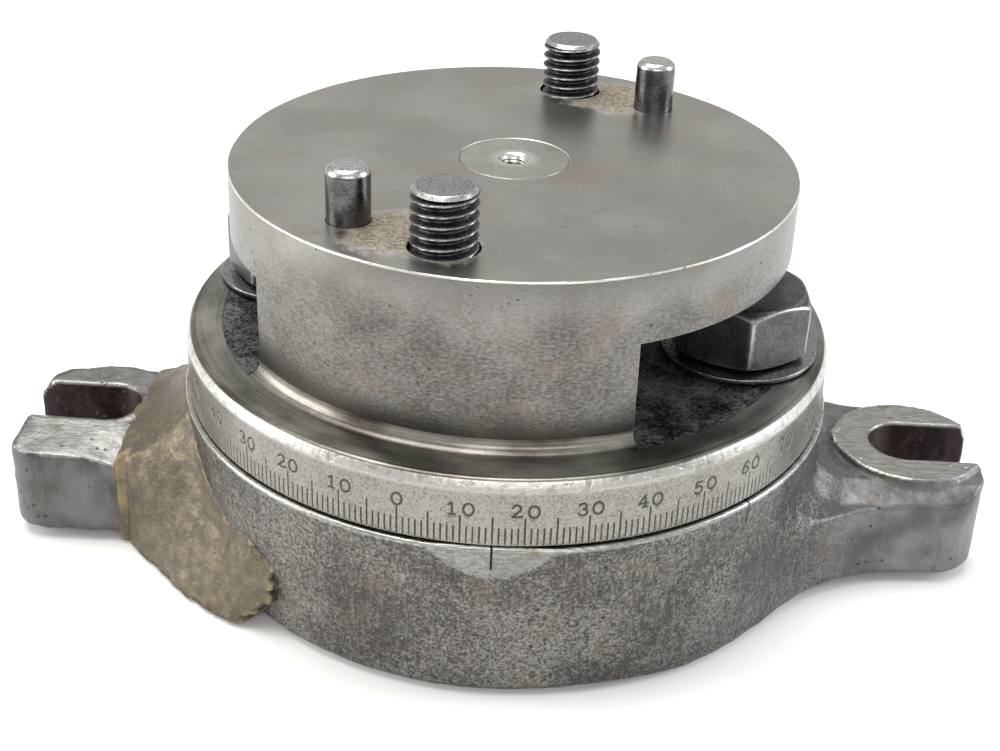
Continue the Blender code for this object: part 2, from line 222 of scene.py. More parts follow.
def capped(rows, columns):
    """Faces of an open turned grid, closed at both ends with flat faces."""
    faces = grid_quads(rows, columns).tolist()
    faces.append(list(range(columns))[::-1])
    faces.append(list(range((rows - 1) * columns, rows * columns)))
    return faces


def wander(places, stretch, y=0.0, z=0.0):
    """A smooth random value for each place along a line."""
    return np.array([noise.noise(Vector((place * stretch, y, z))) for place in places])


def on_circle(radius, angle):
    """A place at an angle from the zero line, which runs along -Y of the table."""
    return radius * math.sin(angle), -radius * math.cos(angle)


def in_frame(x, y):
    """A place in the table's own axes, turned to where the table rests."""
    c, s = math.cos(SWIVEL), math.sin(SWIVEL)
    return c * x - s * y, s * x + c * y


# ---------------------------------------------------------------- cast shapes from distance fields


def round_union(a, b, radius):
    """The union of two fields with a fillet between them."""
    u = np.maximum(radius - a, 0)
    v = np.maximum(radius - b, 0)
    return np.maximum(radius, np.minimum(a, b)) - np.hypot(u, v)


def round_cut(a, b, radius):
    """The overlap of two fields with a rounded edge between them."""
    return -round_union(-a, -b, radius)


def smooth(value, low, high):
    """A soft step from 0 at low to 1 at high."""
    t = np.clip((value - low) / (high - low), 0, 1)
    return t * t * (3 - 2 * t)


CUBE = np.array([[i, j, k] for i in (0, 1) for j in (0, 1) for k in (0, 1)])
CUBE_EDGES = [(a, b) for a in range(8) for b in range(a + 1, 8) if abs(CUBE[a] - CUBE[b]).sum() == 1]


def surface_of(field, low, high, step):
    """The zero surface of a distance field as vertices and quads, one vertex in each crossed cell."""
    axes = [np.arange(a, b + step, step, dtype=np.float32) for a, b in zip(low, high)]
    grid = field(axes[0][:, None, None], axes[1][None, :, None], axes[2][None, None, :])
    grid = np.ascontiguousarray(np.broadcast_to(grid, [len(a) for a in axes]))
    inside = grid < 0
    count = np.zeros([size - 1 for size in inside.shape], np.int8)
    for i, j, k in CUBE:
        count += inside[i : i - 1 or None, j : j - 1 or None, k : k - 1 or None]
    cells = np.argwhere((count > 0) & (count < 8))
    total = np.zeros((len(cells), 3))
    crossings = np.zeros(len(cells))
    for a, b in CUBE_EDGES:
        fa = grid[tuple((cells + CUBE[a]).T)]
        fb = grid[tuple((cells + CUBE[b]).T)]
        crossed = (fa < 0) != (fb < 0)
        share = np.where(crossed, fa / np.where(crossed, fa - fb, 1), 0)
        point = CUBE[a] + share[:, None] * (CUBE[b] - CUBE[a])
        total += point * crossed[:, None]
        crossings += crossed
    vertices = (cells + total / crossings[:, None]) * step + np.array([a[0] for a in axes])
    number = np.full(count.shape, -1, np.int32)
    number[tuple(cells.T)] = np.arange(len(cells))
    quads = []
    for axis in range(3):
        u, v = (axis + 1) % 3, (axis + 2) % 3
        near = [slice(1, -1)] * 3
        far = [slice(1, -1)] * 3
        near[axis] = slice(0, -1)
        far[axis] = slice(1, None)
        here, there = inside[tuple(near)], inside[tuple(far)]
        spot = np.argwhere(here != there)
        flip = there[tuple(spot.T)]
        spot[:, u] += 1
        spot[:, v] += 1
        ring = []
        for du, dv in ((-1, -1), (0, -1), (0, 0), (-1, 0)):
            cell = spot.copy()
            cell[:, u] += du
            cell[:, v] += dv
            ring.append(number[tuple(cell.T)])
        ring = np.stack(ring, -1)
        ring[flip] = ring[flip][:, ::-1]
        quads.append(ring)
    return settle_on(field, vertices, step), np.concatenate(quads)


def settle_on(field, vertices, step):
    """Moves vertices onto the field's zero surface."""
    small = 0.02
    for _ in range(3):
        x, y, z = vertices.T
        value = field(x, y, z)
        slope = np.stack(
            [
                field(x + small, y, z) - field(x - small, y, z),
                field(x, y + small, z) - field(x, y - small, z),
                field(x, y, z + small) - field(x, y, z - small),
            ],
            -1,
        ) / (2 * small)
        size = np.maximum((slope**2).sum(-1), 0.2)
        shift = np.clip(value / size, -0.6 * step, 0.6 * step)
        vertices = vertices - shift[:, None] * slope
    return vertices


def normals_of(vertices, quads):
    """Unit normals at the vertices, averaged from the faces round each."""
    a, b, c, d = (vertices[quads[:, k]] for k in range(4))
    face = np.cross(c - a, d - b)
    total = np.zeros_like(vertices)
    for k in range(4):
        np.add.at(total, quads[:, k], face)
    return total / np.maximum(np.linalg.norm(total, axis=1), 1e-9)[:, None]


def sharpness_of(vertices, quads, normals, rounds=2):
    """Positive on outer edges, negative in inner corners, about 1 at a clean edge."""
    edges = np.concatenate([quads[:, [0, 1]], quads[:, [1, 2]], quads[:, [2, 3]], quads[:, [3, 0]]])
    a, b = edges.T
    away = vertices[b] - vertices[a]
    bend = -(normals[a] * away).sum(-1) / np.maximum((away**2).sum(-1), 1e-6)
    total = np.zeros(len(vertices))
    count = np.zeros(len(vertices))
    np.add.at(total, a, bend)
    np.add.at(count, a, 1)
    value = total / np.maximum(count, 1)
    for _ in range(rounds):
        total = np.zeros(len(vertices))
        np.add.at(total, a, value[b])
        value = total / np.maximum(count, 1)
    return np.clip(value * 1.2, -1, 1)


def lumps(vertices, size, seed):
    """Smooth noise about zero, with features of a given size, at each vertex."""
    shifted = vertices / size + seed
    return np.array([noise.noise(Vector(v)) for v in shifted])


def plane(a, b, c, inside=(-70, 0, 5)):
    """The unit normal and offset of a plane through three points, facing away from a point inside."""
    normal = np.cross(np.subtract(b, a), np.subtract(c, a))
    normal = normal / np.linalg.norm(normal)
    normal = normal * -np.sign(np.dot(normal, np.subtract(inside, a)))
    return normal, float(np.dot(normal, a))


def beyond(face, x, y, z):
    """How far a place lies outside a plane."""
    (nx, ny, nz), offset = face
    return nx * x + ny * y + nz * z - offset


def wall_radius(z):
    """The body's radius at a height; the wall tapers down to the foot."""
    return BASE_FOOT_RADIUS + WALL_SLOPE * z


def index_flat(y, z):
    """How far a place lies behind the leaning flat that carries the index line."""
    return y + (BASE_TOP_RADIUS - INDEX_FLAT_DEPTH) - (z - BASE_TOP) * INDEX_FLAT_LEAN


def body_field(x, y, z):
    """The round body, its undercut foot and the index flat."""
    r = np.hypot(x, y)
    d = round_cut(r - wall_radius(z), z - BASE_TOP, 0.45)
    undercut = 1.4
    d = np.maximum(d, (r - (BASE_FOOT_RADIUS - undercut) - z) * math.sqrt(0.5))
    flat = np.maximum(index_flat(y, z), BASE_TOP - INDEX_FLAT_HEIGHT - z)
    return np.maximum(np.maximum(d, -flat), -z)


def inner_field(x, y, z):
    """What is cut out of the body: the annular T-slot, its entry and the pivot's stepped bore."""
    r = np.hypot(x, y)
    across = np.abs(r - CLAMP_RADIUS)
    above_cavity = CAVITY_ROOF - 1.0 - z
    throat = np.maximum(across - THROAT_HALF_WIDTH, above_cavity)
    middle = (CAVITY_FLOOR + CAVITY_ROOF) / 2
    cavity = np.maximum(across - CAVITY_HALF_WIDTH, np.abs(z - middle) - (CAVITY_ROOF - middle))
    square = np.maximum(np.abs(x), np.abs(y - CLAMP_RADIUS)) - CAVITY_HALF_WIDTH
    entry = np.maximum(square, above_cavity)
    counterbore = np.maximum(r - COUNTERBORE_RADIUS, z - COUNTERBORE_DEPTH)
    bore = np.minimum(r - BUSH_BORE_RADIUS, counterbore)
    return np.minimum(np.minimum(throat, cavity), np.minimum(entry, bore))


def slot_field(x, y):
    """The open clamping slot of the lug along +X."""
    return np.hypot(np.minimum(x - SLOT_CENTRE, 0), y) - SLOT_HALF_WIDTH


def lug_plan(x, y, end, corner):
    """A strip along +X that ends at the lug's end with rounded corners."""
    half = end / 2
    dx = np.abs(x - half) - (half - corner)
    dy = np.abs(y) - (LUG_HALF_WIDTH - corner)
    return np.hypot(np.maximum(dx, 0), np.maximum(dy, 0)) + np.minimum(np.maximum(dx, dy), 0) - corner


def pad_circle(x, y):
    return np.hypot(x - PAD_CENTRE, y) - PAD_RADIUS


def pad_field(x, y, z):
    """The raised round pad of the lug along +X."""
    return np.maximum(round_cut(pad_circle(x, y), z - PAD_TOP, 0.3), 4 - z)


def base_field(x, y, z):
    """The casting: body, right lug with its filleted neck, spot-faced pad and slot."""
    r = np.hypot(x, y)
    ahead = np.where(x > 0, 0, -x)
    plan = round_union(lug_plan(x, y, RIGHT_LUG_END, 8.0), r - BASE_FOOT_RADIUS, 20) + ahead
    fall = np.clip((-y - 11.0) / 4.4, 0, 1)
    near_crown = PAD_TOP - 1.0 - 1.9 * fall
    far_crown = LUG_SHOULDER + 1.6 * (1 - (y / LUG_HALF_WIDTH) ** 2)
    lug = round_cut(plan, z - np.where(y < 0, near_crown, far_crown), np.where(y < 0, 0.6, 1.5))
    lug = round_cut(lug, LUG_UNDERSIDE - z, 0.5)
    lug = round_union(lug, pad_field(x, y, z), 0.9)
    neck_fillet = 0.01 + 6.5 * smooth(x, 4.0, 38.0)
    d = round_union(lug, body_field(x, y, z), neck_fillet)
    d = np.maximum(d, -z)
    d = np.maximum(d, z - BASE_TOP)
    d = np.maximum(d, -np.maximum(pad_circle(x, y), PAD_TOP - z))
    d = round_cut(d, -slot_field(x, y), 0.4)
    return np.maximum(d, -inner_field(x, y, z))


FILED_FACES = [
    plane((-78, -7.5, 17.7), (-64, -6.0, 17.5), (-68, -15.4, 16.0)),
    plane((-60, -15.7, 14.1), (-68, -15.4, 16.3), (-64, -6.0, 17.6)),
    plane((-79.2, 0, 15.6), (-79.2, -8, 15.6), (-77.8, 0, PAD_TOP + 0.2)),
]


def left_lug_field(x, y, z):
    """The lug that broke off: plain end, worn round its edges and filed at the front."""
    mirrored = -x
    plan = lug_plan(mirrored, y, LEFT_LUG_END, 4.8)
    rear = smooth(y, -2.0, 9.0)
    lug = round_cut(plan, z - (PAD_TOP - 2.2 * rear), 1.3)
    lug = round_cut(lug, LUG_UNDERSIDE - z, 0.6)
    lug = round_union(lug, pad_field(mirrored, y, z), 1.5)
    for face in FILED_FACES:
        lug = round_cut(lug, beyond(face, x, y, z), 0.5)
    lug = round_cut(lug, -slot_field(mirrored, y), 0.6)
    return np.maximum(lug, LUG_BREAK - mirrored)


# The braze, round the body from the front: angle, how far its foot and its crest stand out from the
# wall, the crest's height, and the height where it meets the wall.
BRAZE_STATIONS = np.array(
    [
        (-128.5, 0.2, 0.2, 8.0, 9.0),
        (-130.5, 1.9, 1.6, 12.0, 13.5),
        (-136.0, 3.9, 2.2, 14.0, 16.0),
        (-143.5, 6.6, 1.6, 12.5, 15.0),
        (-151.0, 8.6, 2.8, 12.5, 17.0),
        (-157.5, 10.2, 5.4, 14.0, 20.5),
        (-161.5, 12.0, 9.5, 15.8, 23.0),
        (-165.0, 13.2, 12.8, 17.0, 24.5),
        (-172.0, 13.4, 13.2, 17.4, 26.0),
        (-188.0, 13.4, 13.2, 17.2, 25.5),
        (-196.0, 13.0, 12.0, 15.6, 23.5),
        (-201.0, 8.6, 5.6, 14.6, 21.0),
        (-206.5, 4.6, 2.4, 14.0, 18.0),
        (-210.0, 0.4, 0.3, 12.0, 13.0),
    ]
)


def braze_field(x, y, z):
    """Filler metal between body and lug, rising up the wall and run down the front."""
    r = np.hypot(x, y)
    angle = np.degrees(np.arctan2(y, x))
    angle = np.where(angle > 0, angle - 360, angle)
    foot, crest, crest_top, wall_top = (
        np.interp(-angle, -BRAZE_STATIONS[:, 0], BRAZE_STATIONS[:, k]) for k in range(1, 5)
    )
    reach = foot + (crest - foot) * np.clip(z / crest_top, 0, 1)
    share = np.clip(1 - (r - wall_radius(z)) / np.maximum(crest, 1), 0, 1)
    top = crest_top + (wall_top - crest_top) * share**2
    side = (r - wall_radius(4.0) - reach) * 0.85
    strip = np.abs(y) - (LUG_HALF_WIDTH + 0.35)
    side = np.minimum(side, np.maximum(strip, -x - BRAZE_END))
    side = np.maximum(side, -x - BRAZE_END + 0.5 * np.sin(y * 0.9) + 0.3 * np.sin(y * 2.3))
    d = round_cut(side, (z - top) * 0.85, 1.6)
    d = np.maximum(d, wall_radius(z) - 2.5 - r)
    edge = np.interp(z, [0, 1, 7, 13, 16], [-138.5, -137, -131, -130.5, -138])
    edge = edge + 0.5 * np.sin(z * 2.1) + 0.3 * np.sin(z * 5.0 + 1)
    d = np.maximum(d, np.maximum(angle - edge, -210.1 - angle) * 0.8)
    d = round_cut(d, -slot_field(-x - 0.9, y), 0.5)
    d = np.maximum(d, 0.5 - z)
    return np.maximum(d, -inner_field(x, y, z))


# ---------------------------------------------------------------- procedural finishes


class Finish:
    """A procedural material whose patterns are laid out in millimetres on the piece itself."""

    def __init__(self, name, metallic=1.0):
        self.material = bpy.data.materials.new(name)
        self.material.use_nodes = True
        self.tree = self.material.node_tree
        self.shader = self.tree.nodes["Principled BSDF"]
        self.shader.inputs["Metallic"].default_value = metallic
        coordinates = self.tree.nodes.new("ShaderNodeTexCoord")
        self.place = self.vector("SCALE", coordinates.outputs["Object"])
        self.place.node.inputs["Scale"].default_value = 1 / MM
        self.normal = None

    def connect(self, value, socket):
        if isinstance(value, bpy.types.NodeSocket):
            self.tree.links.new(value, socket)
        else:
            socket.default_value = value

    def vector(self, operation, first, second=(0, 0, 0)):
        node = self.tree.nodes.new("ShaderNodeVectorMath")
        node.operation = operation
        self.connect(first, node.inputs[0])
        self.connect(second, node.inputs[1])
        return node.outputs["Value" if operation in ("LENGTH", "DISTANCE") else "Vector"]

    def math(self, operation, first, second=0.0, clamp=False):
        node = self.tree.nodes.new("ShaderNodeMath")
        node.operation = operation
        node.use_clamp = clamp
        self.connect(first, node.inputs[0])
        self.connect(second, node.inputs[1])
        return node.outputs[0]

    def axis(self, letter):
        node = self.tree.nodes.new("ShaderNodeSeparateXYZ")
        self.connect(self.place, node.inputs[0])
        return node.outputs[letter]

    def radius(self):
        """Distance from the piece's own vertical axis."""
        return self.vector("LENGTH", self.vector("MULTIPLY", self.place, (1, 1, 0)))

    def polar(self, around, along=1.0):
        """Coordinates that follow a turned surface: arc length at a given radius, depth and height."""
        turn = self.math("MULTIPLY", self.math("ARCTAN2", self.axis("Y"), self.axis("X")), around)
        node = self.tree.nodes.new("ShaderNodeCombineXYZ")
        self.connect(turn, node.inputs[0])
        self.connect(self.radius(), node.inputs[1])
        self.connect(self.math("MULTIPLY", self.axis("Z"), along), node.inputs[2])
        return node.outputs[0]

    def noise(self, size, detail=3.0, stretch=(1, 1, 1), place=None, distortion=0.0):
        """Noise from 0 to 1 with features of a given size; stretch lengthens them along an axis."""
        scaled = self.vector("DIVIDE", place or self.place, tuple(size * s for s in stretch))
        node = self.tree.nodes.new("ShaderNodeTexNoise")
        node.inputs["Scale"].default_value = 1.0
        node.inputs["Detail"].default_value = detail
        node.inputs["Distortion"].default_value = distortion
        self.connect(scaled, node.inputs["Vector"])
        return node.outputs["Fac"]

    def cells(self, size, place=None, stretch=(1, 1, 1)):
        """Distance to the nearest of scattered points, from 0 at a point."""
        scaled = self.vector("DIVIDE", place or self.place, tuple(size * s for s in stretch))
        node = self.tree.nodes.new("ShaderNodeTexVoronoi")
        node.inputs["Scale"].default_value = 1.0
        self.connect(scaled, node.inputs["Vector"])
        return node.outputs["Distance"]

    def step(self, value, low, high):
        """A soft step: 0 below low, 1 above high; reversed when low is above high."""
        node = self.tree.nodes.new("ShaderNodeMapRange")
        node.interpolation_type = "SMOOTHSTEP"
        rising = low < high
        node.inputs["From Min"].default_value = min(low, high)
        node.inputs["From Max"].default_value = max(low, high)
        node.inputs["To Min"].default_value = 0.0 if rising else 1.0
        node.inputs["To Max"].default_value = 1.0 if rising else 0.0
        self.connect(value, node.inputs["Value"])
        return node.outputs["Result"]

    def level(self, value, low, high):
        """Stretches 0..1 to low..high."""
        return self.plus(self.math("MULTIPLY", value, high - low), low)

    def mask(self, name):
        node = self.tree.nodes.new("ShaderNodeAttribute")
        node.attribute_name = name
        return node.outputs["Fac"]

    def plus(self, first, second):
        return self.math("ADD", first, second)

    def absolute(self, value):
        return self.math("ABSOLUTE", value)

    def both(self, first, second):
        return self.math("MULTIPLY", first, second)

    def either(self, first, second):
        return self.math("MAXIMUM", first, second)

    def blend(self, share, first, second):
        """First where share is 0, second where it is 1; colours are linear (r, g, b)."""
        node = self.tree.nodes.new("ShaderNodeMix")
        node.data_type = "RGBA"
        self.connect(share, node.inputs["Factor"])
        for value, socket in ((first, node.inputs[6]), (second, node.inputs[7])):
            self.connect(value if isinstance(value, bpy.types.NodeSocket) else (*value, 1.0), socket)
        return node.outputs[2]

    def mix(self, share, first, second):
        node = self.tree.nodes.new("ShaderNodeMix")
        self.connect(share, node.inputs["Factor"])
        self.connect(first, node.inputs[2])
        self.connect(second, node.inputs[3])
        return node.outputs[0]

    def relief(self, height, depth, strength=1.0):
        """Raises the surface by depth millimetres where height is 1."""
        node = self.tree.nodes.new("ShaderNodeBump")
        node.inputs["Distance"].default_value = depth * MM
        node.inputs["Strength"].default_value = strength
        self.connect(height, node.inputs["Height"])
        if self.normal:
            self.connect(self.normal, node.inputs["Normal"])
        self.normal = node.outputs["Normal"]

    def done(self, colour, roughness, metallic=None):
        self.connect(colour if isinstance(colour, bpy.types.NodeSocket) else (*colour, 1.0),
                     self.shader.inputs["Base Color"])
        self.connect(roughness, self.shader.inputs["Roughness"])
        if metallic is not None:
            self.connect(metallic, self.shader.inputs["Metallic"])
        if self.normal:
            self.connect(self.normal, self.shader.inputs["Normal"])
        return self.material


def index_lines(f):
    """Two cut lines under the ring, at the front and 45 degrees round to the right."""
    x, y = f.axis("X"), f.axis("Y")
    front = f.both(f.step(f.absolute(x), 0.19, 0.11), f.step(y, -40.0, -41.0))
    across = f.absolute(f.both(f.plus(x, y), math.sqrt(0.5)))
    side = f.both(f.step(across, 0.17, 0.10), f.step(x, 30.0, 31.0))
    near_top = f.step(f.axis("Z"), BASE_TOP - 3.7, BASE_TOP - 3.5)
    return f.both(f.either(front, side), near_top)


def cast_iron(name, filed=0.0):
    """Dark casting, speckled on the body and calm on the lugs, bright on edges, brown in corners; filed also
    darkens the lug colours as painted shade.
    """
    f = Finish(name)
    edge = f.mask("sharpness")
    machined = f.mask("machined")
    grain = f.noise(0.42, 2.0)
    coarse = f.noise(1.1, 3.0)
    patches = f.noise(13.0, 3.0)
    streaks = f.noise(0.5, 2.0, (1, 1, 14))
    calm = f.step(f.absolute(f.axis("X")), 46.0, 60.0)
    speckle = f.plus(f.both(grain, f.level(patches, 0.35, 1.25)), f.both(coarse, 0.30))
    speckle = f.step(speckle, 0.42, 0.80)
    dark = (0.070, 0.065, 0.061)
    light = (0.285, 0.272, 0.255)
    colour = f.blend(speckle, dark, light)
    satin = f.step(f.plus(f.both(f.noise(8.0, 4.0), 0.8), f.both(grain, 0.2)), 0.34, 0.64)
    # Painted shade: filed also darkens the lug colours, to tone down light falling from the left.
    painted_shade = 1.0 - 0.9 * filed
    colour = f.blend(calm, colour, f.blend(satin, (0.100 * painted_shade, 0.098 * painted_shade, 0.098 * painted_shade),
                                           (0.215 * painted_shade, 0.212 * painted_shade, 0.209 * painted_shade)))
    streaked = f.both(f.step(streaks, 0.52, 0.72), f.mix(calm, 0.22 + filed, 0.08))
    colour = f.blend(streaked, colour, (0.36, 0.35, 0.335))
    pits = f.step(f.cells(1.9), 0.2, 0.08)
    pitted = f.both(pits, f.step(f.noise(9.0, 2.0), 0.5, 0.62))
    colour = f.blend(pitted, colour, (0.03, 0.026, 0.022))
    rust = f.both(f.step(edge, -0.05, -0.5), f.level(coarse, 0.4, 1.0))
    colour = f.blend(rust, colour, (0.07, 0.045, 0.028))
    stain = f.both(f.step(f.noise(6.5, 4.0), 0.55, 0.72), 0.5)
    colour = f.blend(stain, colour, (0.13, 0.105, 0.075))
    cuts = f.step(f.noise(0.3, 2.0, (6, 1, 1)), 0.35, 0.7)
    face = f.blend(cuts, (0.30, 0.295, 0.28), (0.50, 0.49, 0.47))
    face = f.blend(f.step(f.noise(3.2, 4.0), 0.6, 0.75), face, (0.2, 0.16, 0.11))
    colour = f.blend(machined, colour, face)
    in_slot = f.step(f.absolute(f.axis("Y")), SLOT_HALF_WIDTH + 0.35, SLOT_HALF_WIDTH + 0.15)
    slot_wall = f.both(in_slot, f.step(f.absolute(f.axis("X")), 60.0, 60.4))
    slot_wall = f.both(slot_wall, f.step(f.axis("Z"), PAD_TOP - 0.3, PAD_TOP - 0.7))
    rusty = f.blend(f.step(patches, 0.4, 0.6), (0.042, 0.032, 0.032), (0.068, 0.050, 0.044))
    colour = f.blend(slot_wall, colour, rusty)
    worn = f.step(f.plus(edge, f.both(coarse, 0.25)), 0.48, 0.76)
    colour = f.blend(worn, colour, (0.56, 0.545, 0.51))
    index = index_lines(f)
    colour = f.blend(index, colour, (0.02, 0.017, 0.015))
    rough = f.level(grain, 0.30, 0.62)
    rough = f.mix(machined, rough, 0.3)
    rough = f.mix(worn, rough, 0.24)
    rough = f.mix(rust, rough, 0.8)
    smooth_skin = f.either(machined, f.both(calm, 0.6))
    f.relief(f.mix(smooth_skin, grain, 0.5), 0.10, 0.75)
    f.relief(f.mix(smooth_skin, coarse, 0.5), 0.22, 0.6)
    f.relief(pitted, -0.3, 0.8)
    f.relief(index, -0.15, 0.8)
    metal = f.level(f.either(rust, pitted), 1.0, 0.35)
    return f.done(colour, rough, metal)


def braze_metal():
    """Brown-tan bronze filler, lumpy, filed bright in places and dark in its hollows."""
    f = Finish("braze_metal")
    edge = f.mask("sharpness")
    grain = f.noise(0.5, 3.0)
    lump = f.noise(2.2, 4.0)
    files = f.noise(0.35, 2.0, (9, 2, 1))
    colour = f.blend(f.step(lump, 0.3, 0.7), (0.100, 0.084, 0.064), (0.185, 0.155, 0.112))
    colour = f.blend(f.both(f.step(files, 0.55, 0.7), 0.35), colour, (0.28, 0.24, 0.17))
    colour = f.blend(f.both(f.step(grain, 0.40, 0.28), 0.7), colour, (0.06, 0.05, 0.04))
    worn = f.both(f.step(f.plus(edge, f.both(lump, 0.4)), 0.45, 0.85), 0.5)
    colour = f.blend(worn, colour, (0.36, 0.29, 0.17))
    seam = f.both(f.step(f.axis("X"), -57.6, -60.6), f.step(f.noise(5.5, 3.0), 0.46, 0.66))
    seam = f.both(seam, 0.5)
    colour = f.blend(seam, colour, (0.33, 0.25, 0.125))
    rough = f.mix(worn, f.level(grain, 0.62, 0.34), 0.25)
    f.relief(grain, 0.12, 0.7)
    f.relief(lump, 0.35, 0.6)
    f.relief(files, 0.05, 0.6)
    return f.done(colour, rough, f.level(f.step(lump, 0.3, 0.6), 0.6, 1.0))


def plate_top():
    """Ground top: satin grey, faint cross scratches, brown-violet stains, grit between stud and dowel."""
    f = Finish("plate_top")
    blotch = f.noise(17.0, 3.0)
    warm = f.noise(11.0, 4.0)
    fine = f.noise(0.28, 2.0)
    lines = f.noise(0.16, 2.0, (60, 1, 1))
    cross = f.noise(0.16, 2.0, (1, 50, 1))
    colour = f.blend(f.step(blotch, 0.35, 0.65), (0.325, 0.325, 0.310), (0.395, 0.388, 0.365))
    colour = f.blend(f.both(f.step(warm, 0.50, 0.68), 0.6), colour, (0.345, 0.295, 0.265))
    elsewhere = f.vector("ADD", f.place, (31, 7, 3))
    green = f.step(f.noise(14.0, 3.0, place=elsewhere), 0.55, 0.7)
    colour = f.blend(f.both(green, 0.4), colour, (0.355, 0.358, 0.290))
    colour = f.blend(f.both(f.step(f.noise(1.1, 4.0), 0.62, 0.72), 0.35), colour, (0.17, 0.15, 0.13))
    dots = f.step(f.cells(2.9), 0.11, 0.05)
    colour = f.blend(f.both(dots, 0.6), colour, (0.55, 0.52, 0.45))
    grit = None
    for sign in (1, -1):
        stud = in_frame(*on_circle(STUD_CIRCLE, STUD_ANGLE))
        dowel = in_frame(*on_circle(STUD_CIRCLE, DOWEL_ANGLE))
        middle = (sign * (stud[0] + dowel[0]) / 2, sign * (stud[1] + dowel[1]) / 2, TABLE_TOP)
        near = f.plus(f.vector("DISTANCE", f.place, middle), f.both(f.noise(2.6, 3.0), 7.0))
        foot = (sign * stud[0], sign * stud[1], TABLE_TOP)
        ragged = f.plus(f.vector("DISTANCE", f.place, foot), f.both(f.noise(2.0, 3.0), 3.2))
        here = f.either(f.step(near, 12.2, 8.2), f.both(f.step(ragged, 8.2, 6.2), 0.7))
        grit = here if grit is None else f.either(grit, here)
    grains = f.noise(0.5, 2.0)
    dirt = f.blend(f.step(grains, 0.42, 0.6), (0.115, 0.090, 0.062), (0.285, 0.230, 0.150))
    grit = f.both(grit, f.level(f.step(f.noise(0.6, 2.0), 0.3, 0.5), 0.30, 0.85))
    colour = f.blend(grit, colour, dirt)
    rough = f.level(f.plus(f.both(fine, 0.5), f.both(blotch, 0.5)), 0.22, 0.40)
    rough = f.mix(grit, rough, 0.85)
    f.relief(lines, 0.006, 0.8)
    f.relief(cross, 0.004, 0.8)
    f.relief(fine, 0.006, 0.6)
    f.relief(f.both(grit, grains), 0.30, 0.9)
    return f.done(colour, rough, f.level(grit, 1.0, 0.2))


def hub_wall():
    """Turned wall: mottled grey, fine turning lines, scattered dark pits; painted shade low down and painted
    light near the top.
    """
    f = Finish("hub_wall")
    unrolled = f.polar(HUB_RADIUS)
    mottle = f.noise(0.36, 3.0, (1.9, 1, 1), unrolled)
    patch = f.noise(9.0, 3.0, place=unrolled)
    turning = f.noise(0.12, 2.0, (90, 1, 1), unrolled)
    cloud = f.noise(2.6, 5.0, place=unrolled)
    share = f.plus(f.both(mottle, 0.50), f.plus(f.both(cloud, 0.14), f.both(patch, 0.36)))
    colour = f.blend(f.step(share, 0.34, 0.68), (0.092, 0.086, 0.080), (0.235, 0.226, 0.212))
    # Painted shade: the lowest part of the wall, above the cove, is darkened.
    low = f.step(f.axis("Z"), FLANGE_TOP + 8.0, FLANGE_TOP + 1.0)
    colour = f.blend(f.both(low, 0.85), colour, (0.058, 0.053, 0.048))
    # Painted light: the upper wall towards the rim is lightened.
    high = f.step(f.plus(f.axis("Z"), f.both(patch, 6.0)), PLATE_UNDERSIDE + 3.0, TABLE_TOP + 2.0)
    colour = f.blend(f.both(high, 0.6), colour, (0.31, 0.30, 0.285))
    colour = f.blend(f.both(f.step(f.noise(6.0, 4.0, place=unrolled), 0.56, 0.7), 0.4), colour,
                     (0.22, 0.17, 0.12))
    pitted = f.step(f.noise(5.0, 3.0, place=unrolled), 0.5, 0.66)
    pits = f.both(f.step(f.cells(1.5, unrolled), 0.21, 0.08), pitted)
    pits = f.both(pits, f.level(f.noise(1.7, 1.0), 0.3, 1.0))
    colour = f.blend(pits, colour, (0.05, 0.042, 0.036))
    rough = f.mix(pits, f.level(mottle, 0.44, 0.24), 0.7)
    f.relief(mottle, 0.035, 0.7)
    f.relief(turning, 0.012, 0.6)
    f.relief(pits, -0.12, 0.8)
    return f.done(colour, rough)


def flange_steel(name, dark, light, low, high):
    """Turned flange top and cove: rings about the axis, darker film over bright metal."""
    f = Finish(name)
    unrolled = f.polar(HUB_RADIUS)
    rings = f.noise(0.22, 2.0, (160, 1, 1), unrolled)
    film = f.noise(5.0, 4.0, (2, 1, 1), unrolled)
    speck = f.noise(0.45, 2.0)
    share = f.plus(f.both(rings, 0.3), f.both(film, 0.75))
    colour = f.blend(f.step(share, 0.38, 0.68), dark, light)
    colour = f.blend(f.both(f.step(speck, 0.62, 0.74), 0.5), colour, (0.07, 0.055, 0.04))
    rough = f.level(film, low, high)
    f.relief(rings, 0.010, 0.6)
    f.relief(speck, 0.02, 0.5)
    return f.done(colour, rough)


def pocket_steel(name, colour_low, colour_high, rough_low, rough_high, depth):
    """Milled walls, and the floor inside the pockets, which is grimy and also darkened as painted shade under
    the plate.
    """
    f = Finish(name)
    grain = f.noise(0.55, 3.0)
    cloud = f.noise(4.5, 3.0)
    marks = f.noise(0.3, 2.0, (1, 1, 10))
    share = f.plus(f.both(grain, 0.6), f.both(cloud, 0.5))
    colour = f.blend(f.step(share, 0.4, 0.72), colour_low, colour_high)
    rough = f.level(cloud, rough_low, rough_high)
    f.relief(grain, depth, 0.8)
    f.relief(marks, 0.03, 0.5)
    return f.done(colour, rough)


def bright_edge():
    """The thin line on rounded edges: real wear, painted much brighter as a highlight, with darker nicks."""
    f = Finish("bright_edge")
    nick = f.noise(0.7, 3.0)
    # Painted highlight: the near-white colour stands in for light caught by the rounded edge.
    colour = f.blend(f.step(nick, 0.6, 0.7), (0.80, 0.78, 0.74), (0.28, 0.25, 0.22))
    f.relief(nick, 0.05, 0.6)
    return f.done(colour, f.level(nick, 0.18, 0.42))


